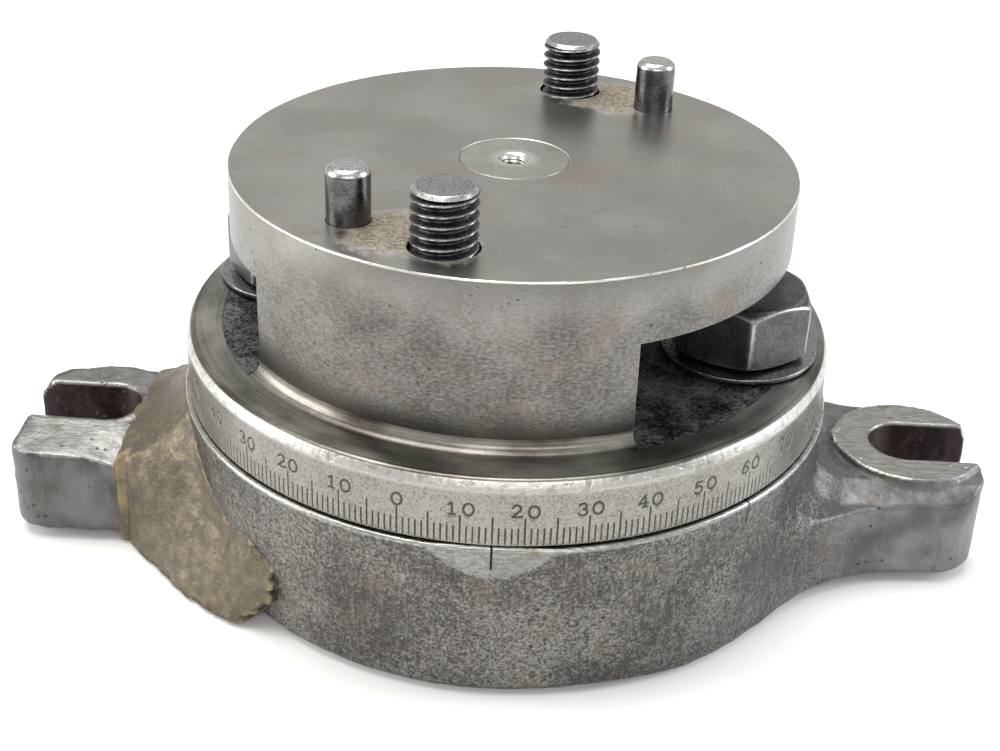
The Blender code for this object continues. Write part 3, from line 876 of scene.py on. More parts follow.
def scale_steel():
    """The graduated band: light satin steel with fine pits; lines and figures filled dark; a painted
    highlight along its rounded top shoulder.
    """
    f = Finish("scale_steel")
    unrolled = f.polar(FLANGE_RADIUS)
    ink = f.mask("ink")
    crown = f.mask("crown")
    fine = f.noise(0.30, 3.0, place=unrolled)
    cloud = f.noise(6.0, 3.0, place=unrolled)
    colour = f.blend(f.step(f.plus(f.both(fine, 0.8), f.both(cloud, 0.3)), 0.38, 0.62),
                     (0.178, 0.165, 0.149), (0.300, 0.288, 0.267))
    dots = f.both(f.step(f.cells(0.9, unrolled), 0.24, 0.12), f.step(cloud, 0.45, 0.6))
    colour = f.blend(f.both(dots, 0.75), colour, (0.14, 0.12, 0.10))
    scuffed = f.step(f.noise(1.1, 4.0, (1.5, 1, 1), unrolled), 0.5, 0.62)
    # Painted highlight: the rounded shoulder is painted near-white where light catches it.
    colour = f.blend(f.both(crown, 0.85), colour, (0.60, 0.585, 0.56))
    colour = f.blend(f.both(crown, f.both(scuffed, 0.35)), colour, (0.16, 0.14, 0.12))
    colour = f.blend(f.both(ink, f.level(f.noise(0.8, 2.0), 0.75, 1.0)), colour, (0.020, 0.017, 0.015))
    rough = f.mix(ink, f.level(fine, 0.40, 0.28), 0.75)
    f.relief(fine, 0.02, 0.6)
    f.relief(dots, -0.05, 0.7)
    f.relief(f.both(crown, scuffed), -0.05, 0.6)
    return f.done(colour, rough, f.level(ink, 1.0, 0.1))


def small_steel(name, dark, light, low, high, grain_size, bright=0.0, depth=0.02):
    """Bolts, studs, pins, nuts and washers: mottled colour, with bright edges where masked."""
    f = Finish(name)
    grain = f.noise(grain_size, 3.0)
    cloud = f.noise(grain_size * 7, 3.0)
    share = f.plus(f.both(grain, 0.6), f.both(cloud, 0.5))
    colour = f.blend(f.step(share, 0.42, 0.72), dark, light)
    rough = f.level(grain, low, high)
    if bright:
        edge = f.both(f.mask("worn"), f.level(f.step(grain, 0.3, 0.55), 0.4, 1.0))
        colour = f.blend(edge, colour, (bright, bright * 0.985, bright * 0.96))
        rough = f.mix(edge, rough, 0.25)
    f.relief(grain, depth, 0.7)
    return f.done(colour, rough)


def make_finishes():
    return {
        "iron": cast_iron("cast_iron"),
        # The broken lug's copy: more file streaks, and lug colours darkened as painted shade.
        "filed": cast_iron("filed_iron", 0.3),
        "braze": braze_metal(),
        "top": plate_top(),
        "wall": hub_wall(),
        "flange": flange_steel("flange_top", (0.136, 0.130, 0.114), (0.31, 0.302, 0.276), 0.3, 0.5),
        "cove": flange_steel("cove_steel", (0.10, 0.09, 0.078), (0.33, 0.315, 0.285), 0.24, 0.38),
        "pocket": pocket_steel("pocket_wall", (0.16, 0.155, 0.15), (0.42, 0.41, 0.40), 0.28, 0.45, 0.05),
        # The pocket floor: real grime, with near-black tones that also paint the shade under the plate.
        "grime_and_shade": pocket_steel("pocket_floor", (0.018, 0.016, 0.017), (0.21, 0.20, 0.20), 0.5, 0.8, 0.25),
        "edge": bright_edge(),
        "scale": scale_steel(),
        "plug": small_steel("plug_steel", (0.39, 0.395, 0.365), (0.46, 0.46, 0.425), 0.24, 0.34, 0.5, 0.7),
        "thread": small_steel("thread_steel", (0.020, 0.021, 0.026), (0.085, 0.085, 0.096),
                              0.3, 0.5, 0.3, 0.6),
        "pin": small_steel("pin_steel", (0.075, 0.072, 0.072), (0.165, 0.16, 0.16), 0.2, 0.32, 0.4, 0.62),
        "nut": small_steel("nut_steel", (0.075, 0.075, 0.080), (0.135, 0.136, 0.142), 0.3, 0.44, 0.5, 0.6),
        "washer": small_steel("washer_steel", (0.030, 0.028, 0.028), (0.085, 0.082, 0.080),
                              0.34, 0.5, 0.5, 0.3),
        "bush": small_steel("bush_bronze", (0.36, 0.22, 0.09), (0.62, 0.44, 0.2), 0.3, 0.45, 0.6, 0.6),
    }


# ---------------------------------------------------------------- cast pieces


def cast_piece(name, field, low, high, finish, slot, nodes, roughen, machined):
    """Meshes a distance field, roughens its cast faces and records where it is worn or machined."""
    step = 0.5
    vertices, quads = surface_of(field, low, high, step)
    normals = normals_of(vertices, quads)
    sharp = sharpness_of(vertices, quads, normals)
    clean = machined(*vertices.T)
    bumps = 0.6 * lumps(vertices, 3.4, 5.1) + 0.4 * lumps(vertices, 1.3, 9.7)
    vertices = vertices + normals * (bumps * roughen * (1 - clean))[:, None]
    vertices[:, 2] = np.maximum(vertices[:, 2], 0)
    masks = {"sharpness": sharp, "machined": clean}
    make_piece(name, vertices, quads.tolist(), [finish], "base_body", slot, nodes, masks=masks, sharp=0)


def base_machined(x, y, z):
    """Turned top, index flat, spot-faced pad and the hidden cuts."""
    top = smooth(z, BASE_TOP - 0.7, BASE_TOP - 0.4)
    pad = (pad_circle(x, y) < 0.05) & (z > PAD_TOP - 0.12)
    on_flat = (np.abs(index_flat(y, z)) < 0.1) & (z > BASE_TOP - INDEX_FLAT_HEIGHT)
    flat = 0.4 * (on_flat & (np.abs(x) < 10))
    foot = smooth(z, 0.25, 0.1)
    return np.clip(top + pad + flat + foot, 0, 1)


def left_machined(x, y, z):
    """The broken lug's pad and the faces filed after the repair."""
    pad = (pad_circle(-x, y) < 0) & (z > PAD_TOP - 0.15)
    filed = np.zeros_like(x)
    for face in FILED_FACES:
        filed = np.maximum(filed, np.abs(beyond(face, x, y, z)) < 0.14)
    return np.clip(0.45 * pad + 0.45 * filed, 0, 0.6)


def never_machined(x, y, z):
    """The braze has no machined face."""
    return np.zeros_like(x)


def make_castings(finish):
    reach = BASE_TOP_RADIUS + 0.8
    corner = (RIGHT_LUG_END + 0.8, reach, BASE_TOP + 0.9)
    cast_piece("base_casting", base_field, (-reach, -reach, -0.8), corner,
               finish["iron"], "cast_iron", ["base"], 0.22, base_machined)
    cast_piece("broken_lug", left_lug_field, (-LEFT_LUG_END - 0.8, -17, 0.8), (-57.5, 17, PAD_TOP + 0.9),
               finish["filed"], "filed_iron", ["left_lug"], 0.25, left_machined)
    cast_piece("braze_filler", braze_field, (-63.5, -45, 0), (-29, 32, BASE_TOP),
               finish["braze"], "braze_bronze", ["braze_repair"], 0.30, never_machined)


# ---------------------------------------------------------------- table body

TABLE_FINISHES = ("top", "wall", "flange", "cove", "pocket", "grime_and_shade", "edge")
KIND = {name: index for index, name in enumerate(TABLE_FINISHES)}
TABLE_COLUMNS = 288
HOLE_COLUMNS = 48
POCKET_STEPS = 79
RIM = 0.22


def table_outline():
    """The turned outline with the finish of the band that starts at each point."""
    bore = PLUG_RADIUS + 0.05
    points = [(bore, TABLE_UNDERSIDE, "pocket"), (FLANGE_RADIUS - 0.9, TABLE_UNDERSIDE, "pocket")]
    points += [(FLANGE_RADIUS - 0.9, FLANGE_TOP - 0.6, "flange"), (49.55, FLANGE_TOP - 0.06, "flange")]
    points += [(49.3, FLANGE_TOP, "flange"), (47.4, FLANGE_TOP - 0.03, "flange")]
    cove = arc((HUB_RADIUS + 1.8, FLANGE_TOP + 1.8), 1.8, 270, 180, 8)
    points += [(r, z, "cove") for r, z in cove[:-1]] + [(cove[-1][0], cove[-1][1] + 0.2, "wall")]
    for z in np.linspace(FLANGE_TOP + 3.2, PLATE_UNDERSIDE + 3, 5):
        points.append((HUB_RADIUS, z, "wall"))
    # The rounded rim takes the bright edge finish: wear with a painted highlight.
    points.append((HUB_RADIUS, TABLE_TOP - RIM, "edge"))
    points.append((HUB_RADIUS - RIM * 0.35, TABLE_TOP - RIM * 0.3, "edge"))
    points.append((HUB_RADIUS - RIM, TABLE_TOP, "top"))
    points += [(r, TABLE_TOP, "top") for r in (HUB_RADIUS - RIM - 0.4, 38.0, 26.0, 16.0)]
    points += [(bore + 0.12, TABLE_TOP, "edge"), (bore, TABLE_TOP - 0.12, "pocket")]
    return points


def blank(name, vertices, faces, indices, finishes):
    """A mesh in the scene that is cut, or cuts, and is never shown itself."""
    data = bpy.data.meshes.new(name)
    data.from_pydata((np.asarray(vertices) * MM).tolist(), [], [list(face) for face in faces])
    for finish in finishes:
        data.materials.append(finish)
    data.polygons.foreach_set("material_index", indices)
    return add_object(name, data)


def pocket_blank(middle, finishes):
    """The annular segment cut out round a clamp bolt, with its finishes left on the table."""
    angles = middle + np.linspace(-POCKET_HALF_ANGLE, POCKET_HALF_ANGLE, POCKET_STEPS + 1)
    section = [(POCKET_INNER, POCKET_FLOOR), (POCKET_OUTER, POCKET_FLOOR)]
    section += [(POCKET_OUTER, PLATE_UNDERSIDE), (POCKET_INNER, PLATE_UNDERSIDE)]
    radius, height = np.array(section).T
    vertices = turned(radius[:, None], height[:, None], angles)
    count = POCKET_STEPS + 1
    faces = []
    indices = []
    # The floor ring takes the grime and painted shade finish; the outer cut face takes the bright edge finish
    # with its painted highlight.
    for ring, kind in enumerate(("grime_and_shade", "edge", "pocket", "pocket")):
        here = ring * count
        after = (ring + 1) % 4 * count
        for k in range(POCKET_STEPS):
            faces.append((here + k + 1, after + k + 1, after + k, here + k))
            indices.append(KIND[kind])
    faces.append([ring * count for ring in range(4)])
    faces.append([ring * count + POCKET_STEPS for ring in range(3, -1, -1)])
    indices += [KIND["pocket"]] * 2
    return blank("pocket_blank", vertices, faces, indices, finishes)


def hole_blank(x, y, radius, low, high, finishes, countersink=0.15):
    """A round hole's cutter, widened at its top into a bright countersink, its brightness a painted highlight
    over wear.
    """
    outline = [(0.01, low), (radius, low), (radius, high - countersink)]
    outline += [(radius + 3 * countersink, high + 2 * countersink), (0.01, high + 2 * countersink)]
    vertices, quads = revolve(outline, HOLE_COLUMNS)
    faces = quads[:-HOLE_COLUMNS].tolist()
    faces.append(list(range(HOLE_COLUMNS))[::-1])
    faces.append(list(range(4 * HOLE_COLUMNS, 5 * HOLE_COLUMNS)))
    indices = [KIND["pocket"]] * len(faces)
    indices[2 * HOLE_COLUMNS : 3 * HOLE_COLUMNS] = [KIND["edge"]] * HOLE_COLUMNS
    return blank("hole_blank", vertices + (x, y, 0), faces, indices, finishes)


def is_pocket_edge(edge):
    """True for the convex edges where a pocket breaks through the hub's wall."""
    if len(edge.link_faces) != 2 or not edge.is_convex:
        return False
    kinds = {face.material_index for face in edge.link_faces}
    middle = (edge.verts[0].co + edge.verts[1].co) / 2 / MM
    outside = math.hypot(middle.x, middle.y) > HUB_RADIUS - 0.3
    return kinds == {KIND["wall"], KIND["pocket"]} and outside and middle.z > FLANGE_TOP + 1.6


def bevel_pockets(data):
    """Rounds the pockets' outer edges, which are rubbed bright and get a painted highlight from the bright
    edge finish.
    """
    mesh = bmesh.new()
    mesh.from_mesh(data)
    bmesh.ops.dissolve_degenerate(mesh, dist=0.01 * MM, edges=mesh.edges)
    chosen = [edge for edge in mesh.edges if is_pocket_edge(edge)]
    made = bmesh.ops.bevel(mesh, geom=chosen, offset=0.55 * MM, offset_type="OFFSET", segments=3,
                           profile=0.5, affect="EDGES", clamp_overlap=True, material=KIND["edge"])
    for face in made["faces"]:
        face.smooth = True
    mesh.to_mesh(data)
    mesh.free()


def nick_rim(vertices, outline):
    """Dents the plate's upper rim here and there."""
    nick = wander(range(TABLE_COLUMNS), 0.11, 0, 3.3)
    dent = wander(range(TABLE_COLUMNS), 0.55, 7, 1.1)
    depth = 0.10 * nick + 0.16 * np.maximum(dent - 0.25, 0)
    for row, (r, _, kind) in enumerate(outline):
        if kind == "edge" and r > HUB_RADIUS - 0.3:
            rows = slice(row * TABLE_COLUMNS, (row + 1) * TABLE_COLUMNS)
            vertices[rows, 2] -= np.maximum(depth, -0.04)
            vertices[rows, :2] *= (1 - np.maximum(depth, 0) * 0.5 / HUB_RADIUS)[:, None]


def cut_out(made, cutters):
    """Subtracts the cutters from an object and removes them; returns its new mesh."""
    for number, cutter in enumerate(cutters):
        modifier = made.modifiers.new(f"cut_{number}", "BOOLEAN")
        modifier.operation = "DIFFERENCE"
        modifier.solver = "EXACT"
        modifier.object = cutter
    bpy.context.view_layer.update()
    graph = bpy.context.evaluated_depsgraph_get()
    made_data = bpy.data.meshes.new_from_object(made.evaluated_get(graph))
    made.modifiers.clear()
    made.data = made_data
    for cutter in cutters:
        bpy.data.objects.remove(cutter)
    return made_data


def make_table(finish):
    finishes = [finish[name] for name in TABLE_FINISHES]
    outline = table_outline()
    vertices, quads = revolve([point[:2] for point in outline], TABLE_COLUMNS)
    nick_rim(vertices, outline)
    indices = np.repeat([KIND[point[2]] for point in outline], TABLE_COLUMNS)
    table = blank("table_body", vertices, quads, indices, finishes)
    cutters = [pocket_blank(middle, finishes) for middle in (0, math.pi)]
    holes = [((CLAMP_RADIUS, 0), BOLT_RADIUS + GAP, TABLE_UNDERSIDE - 2, FLANGE_TOP - 0.2, 0.4)]
    holes.append((on_circle(STUD_CIRCLE, STUD_ANGLE), STUD_RADIUS + GAP,
                  TABLE_TOP - STUD_SINKS - GAP, TABLE_TOP, 0.15))
    holes.append((on_circle(STUD_CIRCLE, DOWEL_ANGLE), DOWEL_RADIUS + 0.06,
                  TABLE_TOP - DOWEL_SINKS - GAP, TABLE_TOP, 0.06))
    for side in (1, -1):
        for (x, y), radius, low, high, countersink in holes:
            cutters.append(hole_blank(side * x, side * y, radius, low, high, finishes, countersink))
    data = cut_out(table, cutters)
    bevel_pockets(data)
    shade(data, 32)
    data.transform(Matrix.Rotation(SWIVEL, 4, "Z"))
    settle(table, "table", ["swivel_table"])


# ---------------------------------------------------------------- graduated band

DIGIT_HEIGHT = 1.9
DIGIT_SPACING = 2.2
STROKE_HALF = 0.155
LINE_HALF = 0.14
LINE_SLOPE = 0.08
SHORT_LINE = 3.0
LONG_LINE = 4.65
ENGRAVED = 0.13


def loop(x, y, half_width, half_height, start=0, end=360, steps=18):
    """Points round part of an ellipse, angles in degrees from +X."""
    angles = [math.radians(start + (end - start) * k / steps) for k in range(steps + 1)]
    return [(x + half_width * math.cos(a), y + half_height * math.sin(a)) for a in angles]


SIX = [loop(0.0, 0.30, 0.30, 0.30), loop(0.26, 0.34, 0.56, 0.66, 92, 178, 8)]
DIGITS = {
    "0": [loop(0, 0.5, 0.38, 0.5)],
    "1": [[(-0.24, 0.80), (0.0, 1.0), (0.0, 0.0)], [(-0.24, 0), (0.24, 0)]],
    "2": [loop(0, 0.72, 0.30, 0.28, 165, -38, 10) + [(-0.32, 0.0), (0.34, 0.0), (0.36, 0.10)]],
    "3": [loop(0, 0.75, 0.27, 0.25, 155, -80, 10), loop(0, 0.26, 0.33, 0.27, 85, -155, 12)],
    "4": [[(0.14, 0.0), (0.14, 1.0), (-0.36, 0.30), (0.36, 0.30)], [(-0.04, 0), (0.32, 0)]],
    "5": [[(0.28, 1.0), (-0.22, 1.0), (-0.26, 0.54)] + loop(0.0, 0.32, 0.33, 0.32, 128, -155, 12)],
    "6": SIX,
    "7": [[(-0.32, 0.88), (-0.32, 1.0), (0.32, 1.0), (-0.06, 0.0)]],
    "8": [loop(0, 0.75, 0.26, 0.25), loop(0, 0.26, 0.33, 0.26)],
    "9": [[(-x, 1 - y) for x, y in stroke] for stroke in SIX],
}


def stroke_distance(s, z, strokes):
    """Distance from each point to the nearest of a glyph's strokes."""
    nearest = np.full(s.shape, 9.0)
    for stroke in strokes:
        for (ax, ay), (bx, by) in zip(stroke, stroke[1:]):
            dx, dy = bx - ax, by - ay
            t = np.clip(((s - ax) * dx + (z - ay) * dy) / max(dx * dx + dy * dy, 1e-9), 0, 1)
            nearest = np.minimum(nearest, np.hypot(s - ax - t * dx, z - ay - t * dy))
    return nearest


def scale_columns():
    """Arc positions round the band, close together at each line and under each figure."""
    around = 2 * math.pi * FLANGE_RADIUS
    degree = around / 360
    places = []
    for k in range(360):
        places += [k * degree + shift for shift in (-LINE_HALF, -0.06, 0.06, LINE_HALF, degree / 2)]
    for k in range(0, 360, 10):
        places += list(k * degree + np.arange(-2.3, 2.3, 0.1))
    places = np.sort(np.mod(places, around))
    keep = np.concatenate([[True], np.diff(places) > 0.035])
    return places[keep]


def engraving(s, z):
    """How deep the lines and figures go at each point of the band, from 0 to 1."""
    degree = 2 * math.pi * FLANGE_RADIUS / 360
    nearest = np.round(s / degree)
    away = np.abs(s - nearest * degree)
    length = np.where(np.mod(nearest, 5) == 0, LONG_LINE, SHORT_LINE)
    cut = np.clip((LINE_HALF - away) / LINE_SLOPE, 0, 1) * np.clip((length - z) / LINE_SLOPE, 0, 1)
    for k in range(0, 360, 10):
        value = min(k % 180, 180 - k % 180)
        text = str(value)
        for place, digit in enumerate(text):
            jitter = RNG.normal(0, 1, 3)
            centre = k * degree + (place - (len(text) - 1) / 2) * DIGIT_SPACING + 0.06 * jitter[0]
            bottom = LONG_LINE + 0.05 + 0.07 * jitter[1]
            tilt = 0.035 * jitter[2]
            ds = np.mod(s - centre + 100, 2 * math.pi * FLANGE_RADIUS) - 100
            near = (np.abs(ds) < 1.4) & (np.abs(z - bottom - 1) < 1.4)
            u = ds[near] / DIGIT_HEIGHT
            v = (z[near] - bottom) / DIGIT_HEIGHT
            d = stroke_distance(u - tilt * (v - 0.5), v + tilt * u, DIGITS[digit]) * DIGIT_HEIGHT
            cut[near] = np.maximum(cut[near], np.clip((STROKE_HALF + 0.05 - d) / 0.1, 0, 1))
    return cut


def make_scale(finish):
    """The outer skin of the flange, engraved with degree lines and stamped figures."""
    low = TABLE_UNDERSIDE
    heights = [0.3, 1.2, 2.1, SHORT_LINE - 0.1, SHORT_LINE - 0.02, SHORT_LINE + 0.06, 3.8]
    heights += [LONG_LINE - 0.12, *np.arange(LONG_LINE - 0.04, LONG_LINE + DIGIT_HEIGHT + 0.35, 0.095)]
    heights += [7.6, 8.2, BAND_TOP - low]
    skin = [(FLANGE_RADIUS - 1.6, low + 0.4), (FLANGE_RADIUS - 0.95, low), (FLANGE_RADIUS - 0.25, low)]
    skin.append((FLANGE_RADIUS - 0.06, low + 0.08))
    lower = len(skin)
    skin += [(FLANGE_RADIUS, low + h) for h in heights]
    upper = len(skin)
    skin += [(FLANGE_RADIUS - 0.04, BAND_TOP + 0.25), (FLANGE_RADIUS - 0.24, BAND_TOP + 0.7)]
    skin += [(FLANGE_RADIUS - 0.46, BAND_TOP + 1.1), (FLANGE_RADIUS - 0.62, BAND_TOP + 1.42)]
    skin += [(FLANGE_RADIUS - 0.92, BAND_TOP + 1.66), (FLANGE_RADIUS - 1.3, FLANGE_TOP)]
    skin += [(FLANGE_RADIUS - 1.6, FLANGE_TOP - 0.03), (FLANGE_RADIUS - 1.9, FLANGE_TOP - 0.4)]
    s = scale_columns()
    radius, z = np.array(skin).T
    radius = np.repeat(radius[:, None], len(s), 1)
    z = np.repeat(z[:, None], len(s), 1)
    places = np.broadcast_to(s, z.shape)
    cut = engraving(places.ravel(), (z - low).ravel()).reshape(z.shape)
    cut[:lower] *= 0
    cut[upper:] *= 0
    rough = wander(s, 1.3)
    chips = np.maximum(wander(s, 0.8, 4) - 0.2, 0)
    # The crown rows carry the shoulder's chips and, in the scale finish, its painted highlight.
    crown = np.zeros_like(z)
    crown[upper : upper + 4] = 1
    crown[upper - 1] = 0.4
    radius = radius - ENGRAVED * cut - crown * (0.03 * rough + 0.12 * chips + 0.02)
    angle = places / FLANGE_RADIUS
    vertices = np.stack([radius * np.sin(angle), -radius * np.cos(angle), z], -1).reshape(-1, 3)
    quads = grid_quads(len(skin), len(s), True)
    indices = np.zeros(len(quads), int)
    for row in range(upper + 3, len(skin)):
        indices[row * len(s) : (row + 1) * len(s)] = 1
    masks = {"ink": cut.ravel(), "crown": crown.ravel()}
    make_piece("table_scale", vertices, quads.tolist(), [finish["scale"], finish["cove"]], "table",
               "ground_steel", ["swivel_table"], turn=SWIVEL, masks=masks, indices=indices, sharp=50)


# ---------------------------------------------------------------- threads, nuts and turned parts


def thread_phase(z, pitch, angle):
    """Where a place lies between one crest of a right-hand thread and the next, from 0 to 1."""
    return np.mod(z / pitch - angle / (2 * np.pi), 1)


def thread_rows(radius, pitch, low, high, chamfer, angle):
    """Rows of a helix of rounded 60 degree ridges that fades into the end's chamfer."""
    z = np.arange(low, high - chamfer * 0.3, pitch / 12)[:, None]
    crest = 0.93
    ridge = np.clip(1 - np.abs(thread_phase(z, pitch, angle) - 0.5) * 2.35, 0, crest)
    depth = 0.60 * pitch
    thread = radius - depth * (1 - ridge / crest)
    cone = radius - chamfer * 1.05 + (high - z) * 1.05
    made = np.minimum(thread, np.maximum(cone, radius - depth))
    worn = np.clip((ridge - 0.72) * 3, 0, 0.55)
    return list(zip(made, z, worn))


def threaded_rod(radius, pitch, low, high, chamfer, angle):
    """Rows of a threaded rod with a chamfered end that shows its facing marks."""
    rows = thread_rows(radius, pitch, low, high, chamfer, angle)
    end_radius = radius - chamfer * 1.02
    rows += [(end_radius + chamfer * share, high - chamfer * share, 0.9) for share in (0.75, 0.5, 0.25, 0.06)]
    rows.append((end_radius - 0.06, high, 0.5))
    mark_spacing = 0.52
    mark_depth = 0.03
    for r in np.arange(end_radius - 0.16, 0.25, -0.11):
        mark = 0.5 + 0.5 * math.sin(r * 2 * math.pi / mark_spacing)
        rows.append((r, high - mark_depth * mark, 0.5))
    return rows


def rows_piece(name, rows, angle, closed, finish, body, slot, node, **options):
    """A piece from rows of (radius, height, worn), closed on itself or capped at both ends."""
    count = len(rows)
    spread = [[np.broadcast_to(value, angle.shape) for value in row] for row in rows]
    radius, height, worn = np.array(spread, float).transpose(1, 0, 2)
    faces = grid_quads(count, len(angle), True).tolist() if closed else capped(count, len(angle))
    make_piece(name, turned(radius, height, angle), faces, [finish], body, slot, [node],
               masks={"worn": worn.ravel()}, **options)


def turned_piece(name, corners, finish, body, slot, node, **options):
    """A turned part from softened corners, worn bright on its rounded edges."""
    columns = 96
    vertices, quads = revolve(soften(corners), columns)
    worn = []
    for *_, softness in corners:
        worn += [1.0] * 4 if softness else [0.0]
    masks = {"worn": np.repeat(worn, columns)}
    make_piece(name, vertices, quads.tolist(), [finish], body, slot, [node], masks=masks, **options)


def pin_piece(name, place, finish):
    """A dowel pin: polished, with a rounded lead at its top."""
    low = TABLE_TOP - DOWEL_SINKS
    high = TABLE_TOP + DOWEL_STANDS
    corners = [(0.5, low, 0), (DOWEL_RADIUS, low, 0.4), (DOWEL_RADIUS, high - 0.75, 0.5)]
    corners += [(DOWEL_RADIUS - 0.75, high, 0.45), (0.5, high, 0)]
    outline = soften(corners, 4)
    # The hidden lower end is drawn without its flat rim.
    del outline[1]
    rows = [(r, z, 0.9 if abs(z - (high - 0.45)) < 0.5 else 0.0) for r, z in outline]
    rows_piece(name, rows, around(64), False, finish, "table", "pin_steel", name, place=place, turn=SWIVEL)


def hexagon_rows(low, high, corner, angle):
    """Rows of a hexagon chamfered at both ends, from its underside to its top face."""
    apothem = ACROSS_FLATS / 2
    off = np.degrees(np.mod(angle - corner, math.pi / 3)) - 30
    hexagon = apothem / np.cos(np.radians(off)) - 0.28 * np.clip((np.abs(off) - 26.5) / 3.5, 0, 1) ** 2
    flat = apothem - 0.35
    fall = np.maximum(hexagon - flat, 0) * math.tan(math.radians(30))
    corners = 0.7 * np.clip((np.abs(off) - 28.2) / 1.5, 0, 1)
    return [
        (flat - 0.2, low, 0),
        (flat, low + 0.05, 0.8),
        (hexagon - 0.10, low + fall * 0.7 + 0.02, 0.8),
        (hexagon, low + fall * 0.7 + 0.16, 0.1),
        (hexagon, low + fall * 0.7 + 0.5, corners),
        (hexagon + 0.02, (low + high) / 2, corners),
        (hexagon, high - fall - 0.5, corners),
        (hexagon, high - fall - 0.16, 0.15),
        (hexagon - 0.10, high - fall, 0.9),
        (flat + (hexagon - flat) * 0.5, high - fall * 0.5, 0),
        (flat + 0.05, high - 0.05, 0.3),
        (flat - 0.2, high, 0),
    ]


def thread_bore(low, high, angle):
    """Rows of a tapped bore, from its top down."""
    made = []
    for z in np.arange(high - 0.9, low + 0.6, -BOLT_PITCH / 8):
        made.append((TAPPED_RADIUS + 0.5 * np.abs(thread_phase(z, BOLT_PITCH, angle) - 0.5), z, 0.2))
    return made


def dark_piece(name, rows, angle, closed, place, body, finish, node):
    """A bolt or nut at its place on the table, with crisp edges."""
    rows_piece(name, rows, angle, closed, finish, body, "dark_steel", node,
               place=place, turn=SWIVEL, sharp=28)


def nut_piece(name, corner, place, body, finish, node):
    """A hexagon nut with a threaded bore."""
    low, high = (corner_mm[2] for corner_mm in box_mm(node))
    angle = around(HEXAGON_COLUMNS)
    rows = [(TAPPED_RADIUS + 0.9, low, 0)] + hexagon_rows(low, high, corner, angle)
    rows += [(TAPPED_RADIUS + 1.0, high, 0), (TAPPED_RADIUS + 0.5, high - 0.45, 0.8)]
    rows += thread_bore(low, high, angle)
    dark_piece(name, rows, angle, True, place, body, finish, node)


def clamp_bolt_piece(name, head_low, corner, place, body, finish, node):
    """A clamp bolt: closed hexagon head, a plain neck in the flange and a threaded end in the T-nut."""
    tip, high = (corner_mm[2] for corner_mm in box_mm(node))
    angle = around(HEXAGON_COLUMNS)
    neck = BOLT_RADIUS - 0.05
    rows = [(BOLT_RADIUS - 1.1, tip, 0.5)]
    for z in np.arange(tip + 0.6, TABLE_UNDERSIDE - 1, BOLT_PITCH / 10):
        off_crest = np.abs(thread_phase(z, BOLT_PITCH, angle) - 0.5)
        rows.append((neck - 1.9 * off_crest, z, 0.3 * (off_crest < 0.08)))
    rows += [(neck, TABLE_UNDERSIDE - 0.6, 0), (neck, head_low - 0.02, 0)]
    rows += hexagon_rows(head_low, high, corner, angle)
    rows += [(r, high, 0) for r in (6.4, 4.0, 1.6)]
    dark_piece(name, rows, angle, False, place, body, finish, node)


def washer_piece(name, place, finish, node):
    low_corner, high_corner = box_mm(node)
    low, high = low_corner[2], high_corner[2]
    inner = BOLT_RADIUS + GAP
    outer = (high_corner[0] - low_corner[0]) / 2
    ease = (high - low) * 0.25
    corners = [(inner, low, ease), (outer, low, ease), (outer, high, ease), (inner, high, ease)]
    turned_piece(name, corners, finish, "table", "dark_steel", node, place=place, turn=SWIVEL)


def t_nut_piece(name, place, body, finish, node):
    """A T-nut: a bevelled block with clipped corners and a tapped bore, in the base's annular slot."""
    low, high = (corner_mm[2] for corner_mm in box_mm(node))
    angle = around(144)
    half_x, half_y, clipped = 18.5 / 2, 19.0 / 2, 3.0
    across = np.abs(np.cos(angle))
    along = np.abs(np.sin(angle))
    side = np.minimum(half_x / np.maximum(across, 1e-6), half_y / np.maximum(along, 1e-6))
    block = np.minimum(side, (half_x + half_y - clipped) / (across + along))
    rows = [(TAPPED_RADIUS + 0.9, low, 0), (block - 0.5, low, 0.3), (block, low + 0.5, 0.4)]
    rows += [(block, high - 0.5, 0.4), (block - 0.5, high, 0.3), (TAPPED_RADIUS + 0.9, high, 0)]
    rows += thread_bore(low, high, angle)
    dark_piece(name, rows, angle, True, place, body, finish, node)


def make_post(finish):
    """The pivot post: flush plug with a countersunk tapped hole, journal and threaded end."""
    angle = around(96)
    hole = 1.85
    hole_pitch = 0.75
    top = TABLE_TOP
    journal = 8.0
    shoulder = COUNTERBORE_DEPTH
    end = 1.2
    rows = [(0.2, top - 9, 0), (hole - 0.3, top - 8.6, 0)]
    for z in np.arange(top - 8.4, top - 0.75, hole_pitch / 8):
        off_crest = np.abs(thread_phase(z, hole_pitch, angle) - 0.5)
        rows.append((hole + 0.35 * (off_crest - 0.5), z, 0.6))
    rows += [(hole + 0.05, top - 0.5, 1), (hole + 0.55, top - 0.04, 1), (hole + 0.68, top, 1)]
    rows += [(4.0, top, 0), (6.5, top, 0), (PLUG_RADIUS - 0.14, top, 0)]
    rows += [(PLUG_RADIUS - 0.02, top - 0.12, 0), (PLUG_RADIUS, top - 0.4, 0)]
    rows += [(PLUG_RADIUS, TABLE_UNDERSIDE, 0), (journal, TABLE_UNDERSIDE, 0), (journal, shoulder + 0.3, 0)]
    rows += [(journal - 0.3, shoulder, 0), (BOLT_RADIUS - 0.2, shoulder, 0)]
    for z in np.arange(shoulder - 0.3, 2.0, -BOLT_PITCH / 10):
        rows.append((BOLT_RADIUS - 1.98 * np.abs(thread_phase(z, BOLT_PITCH, angle) - 0.5), z, 0))
    rows += [(BOLT_RADIUS - 0.9, end, 0), (0.2, end, 0)]
    rows_piece("post", rows, angle, False, finish["plug"], "table", "plug_steel", "pivot_post",
               turn=SWIVEL, sharp=35)


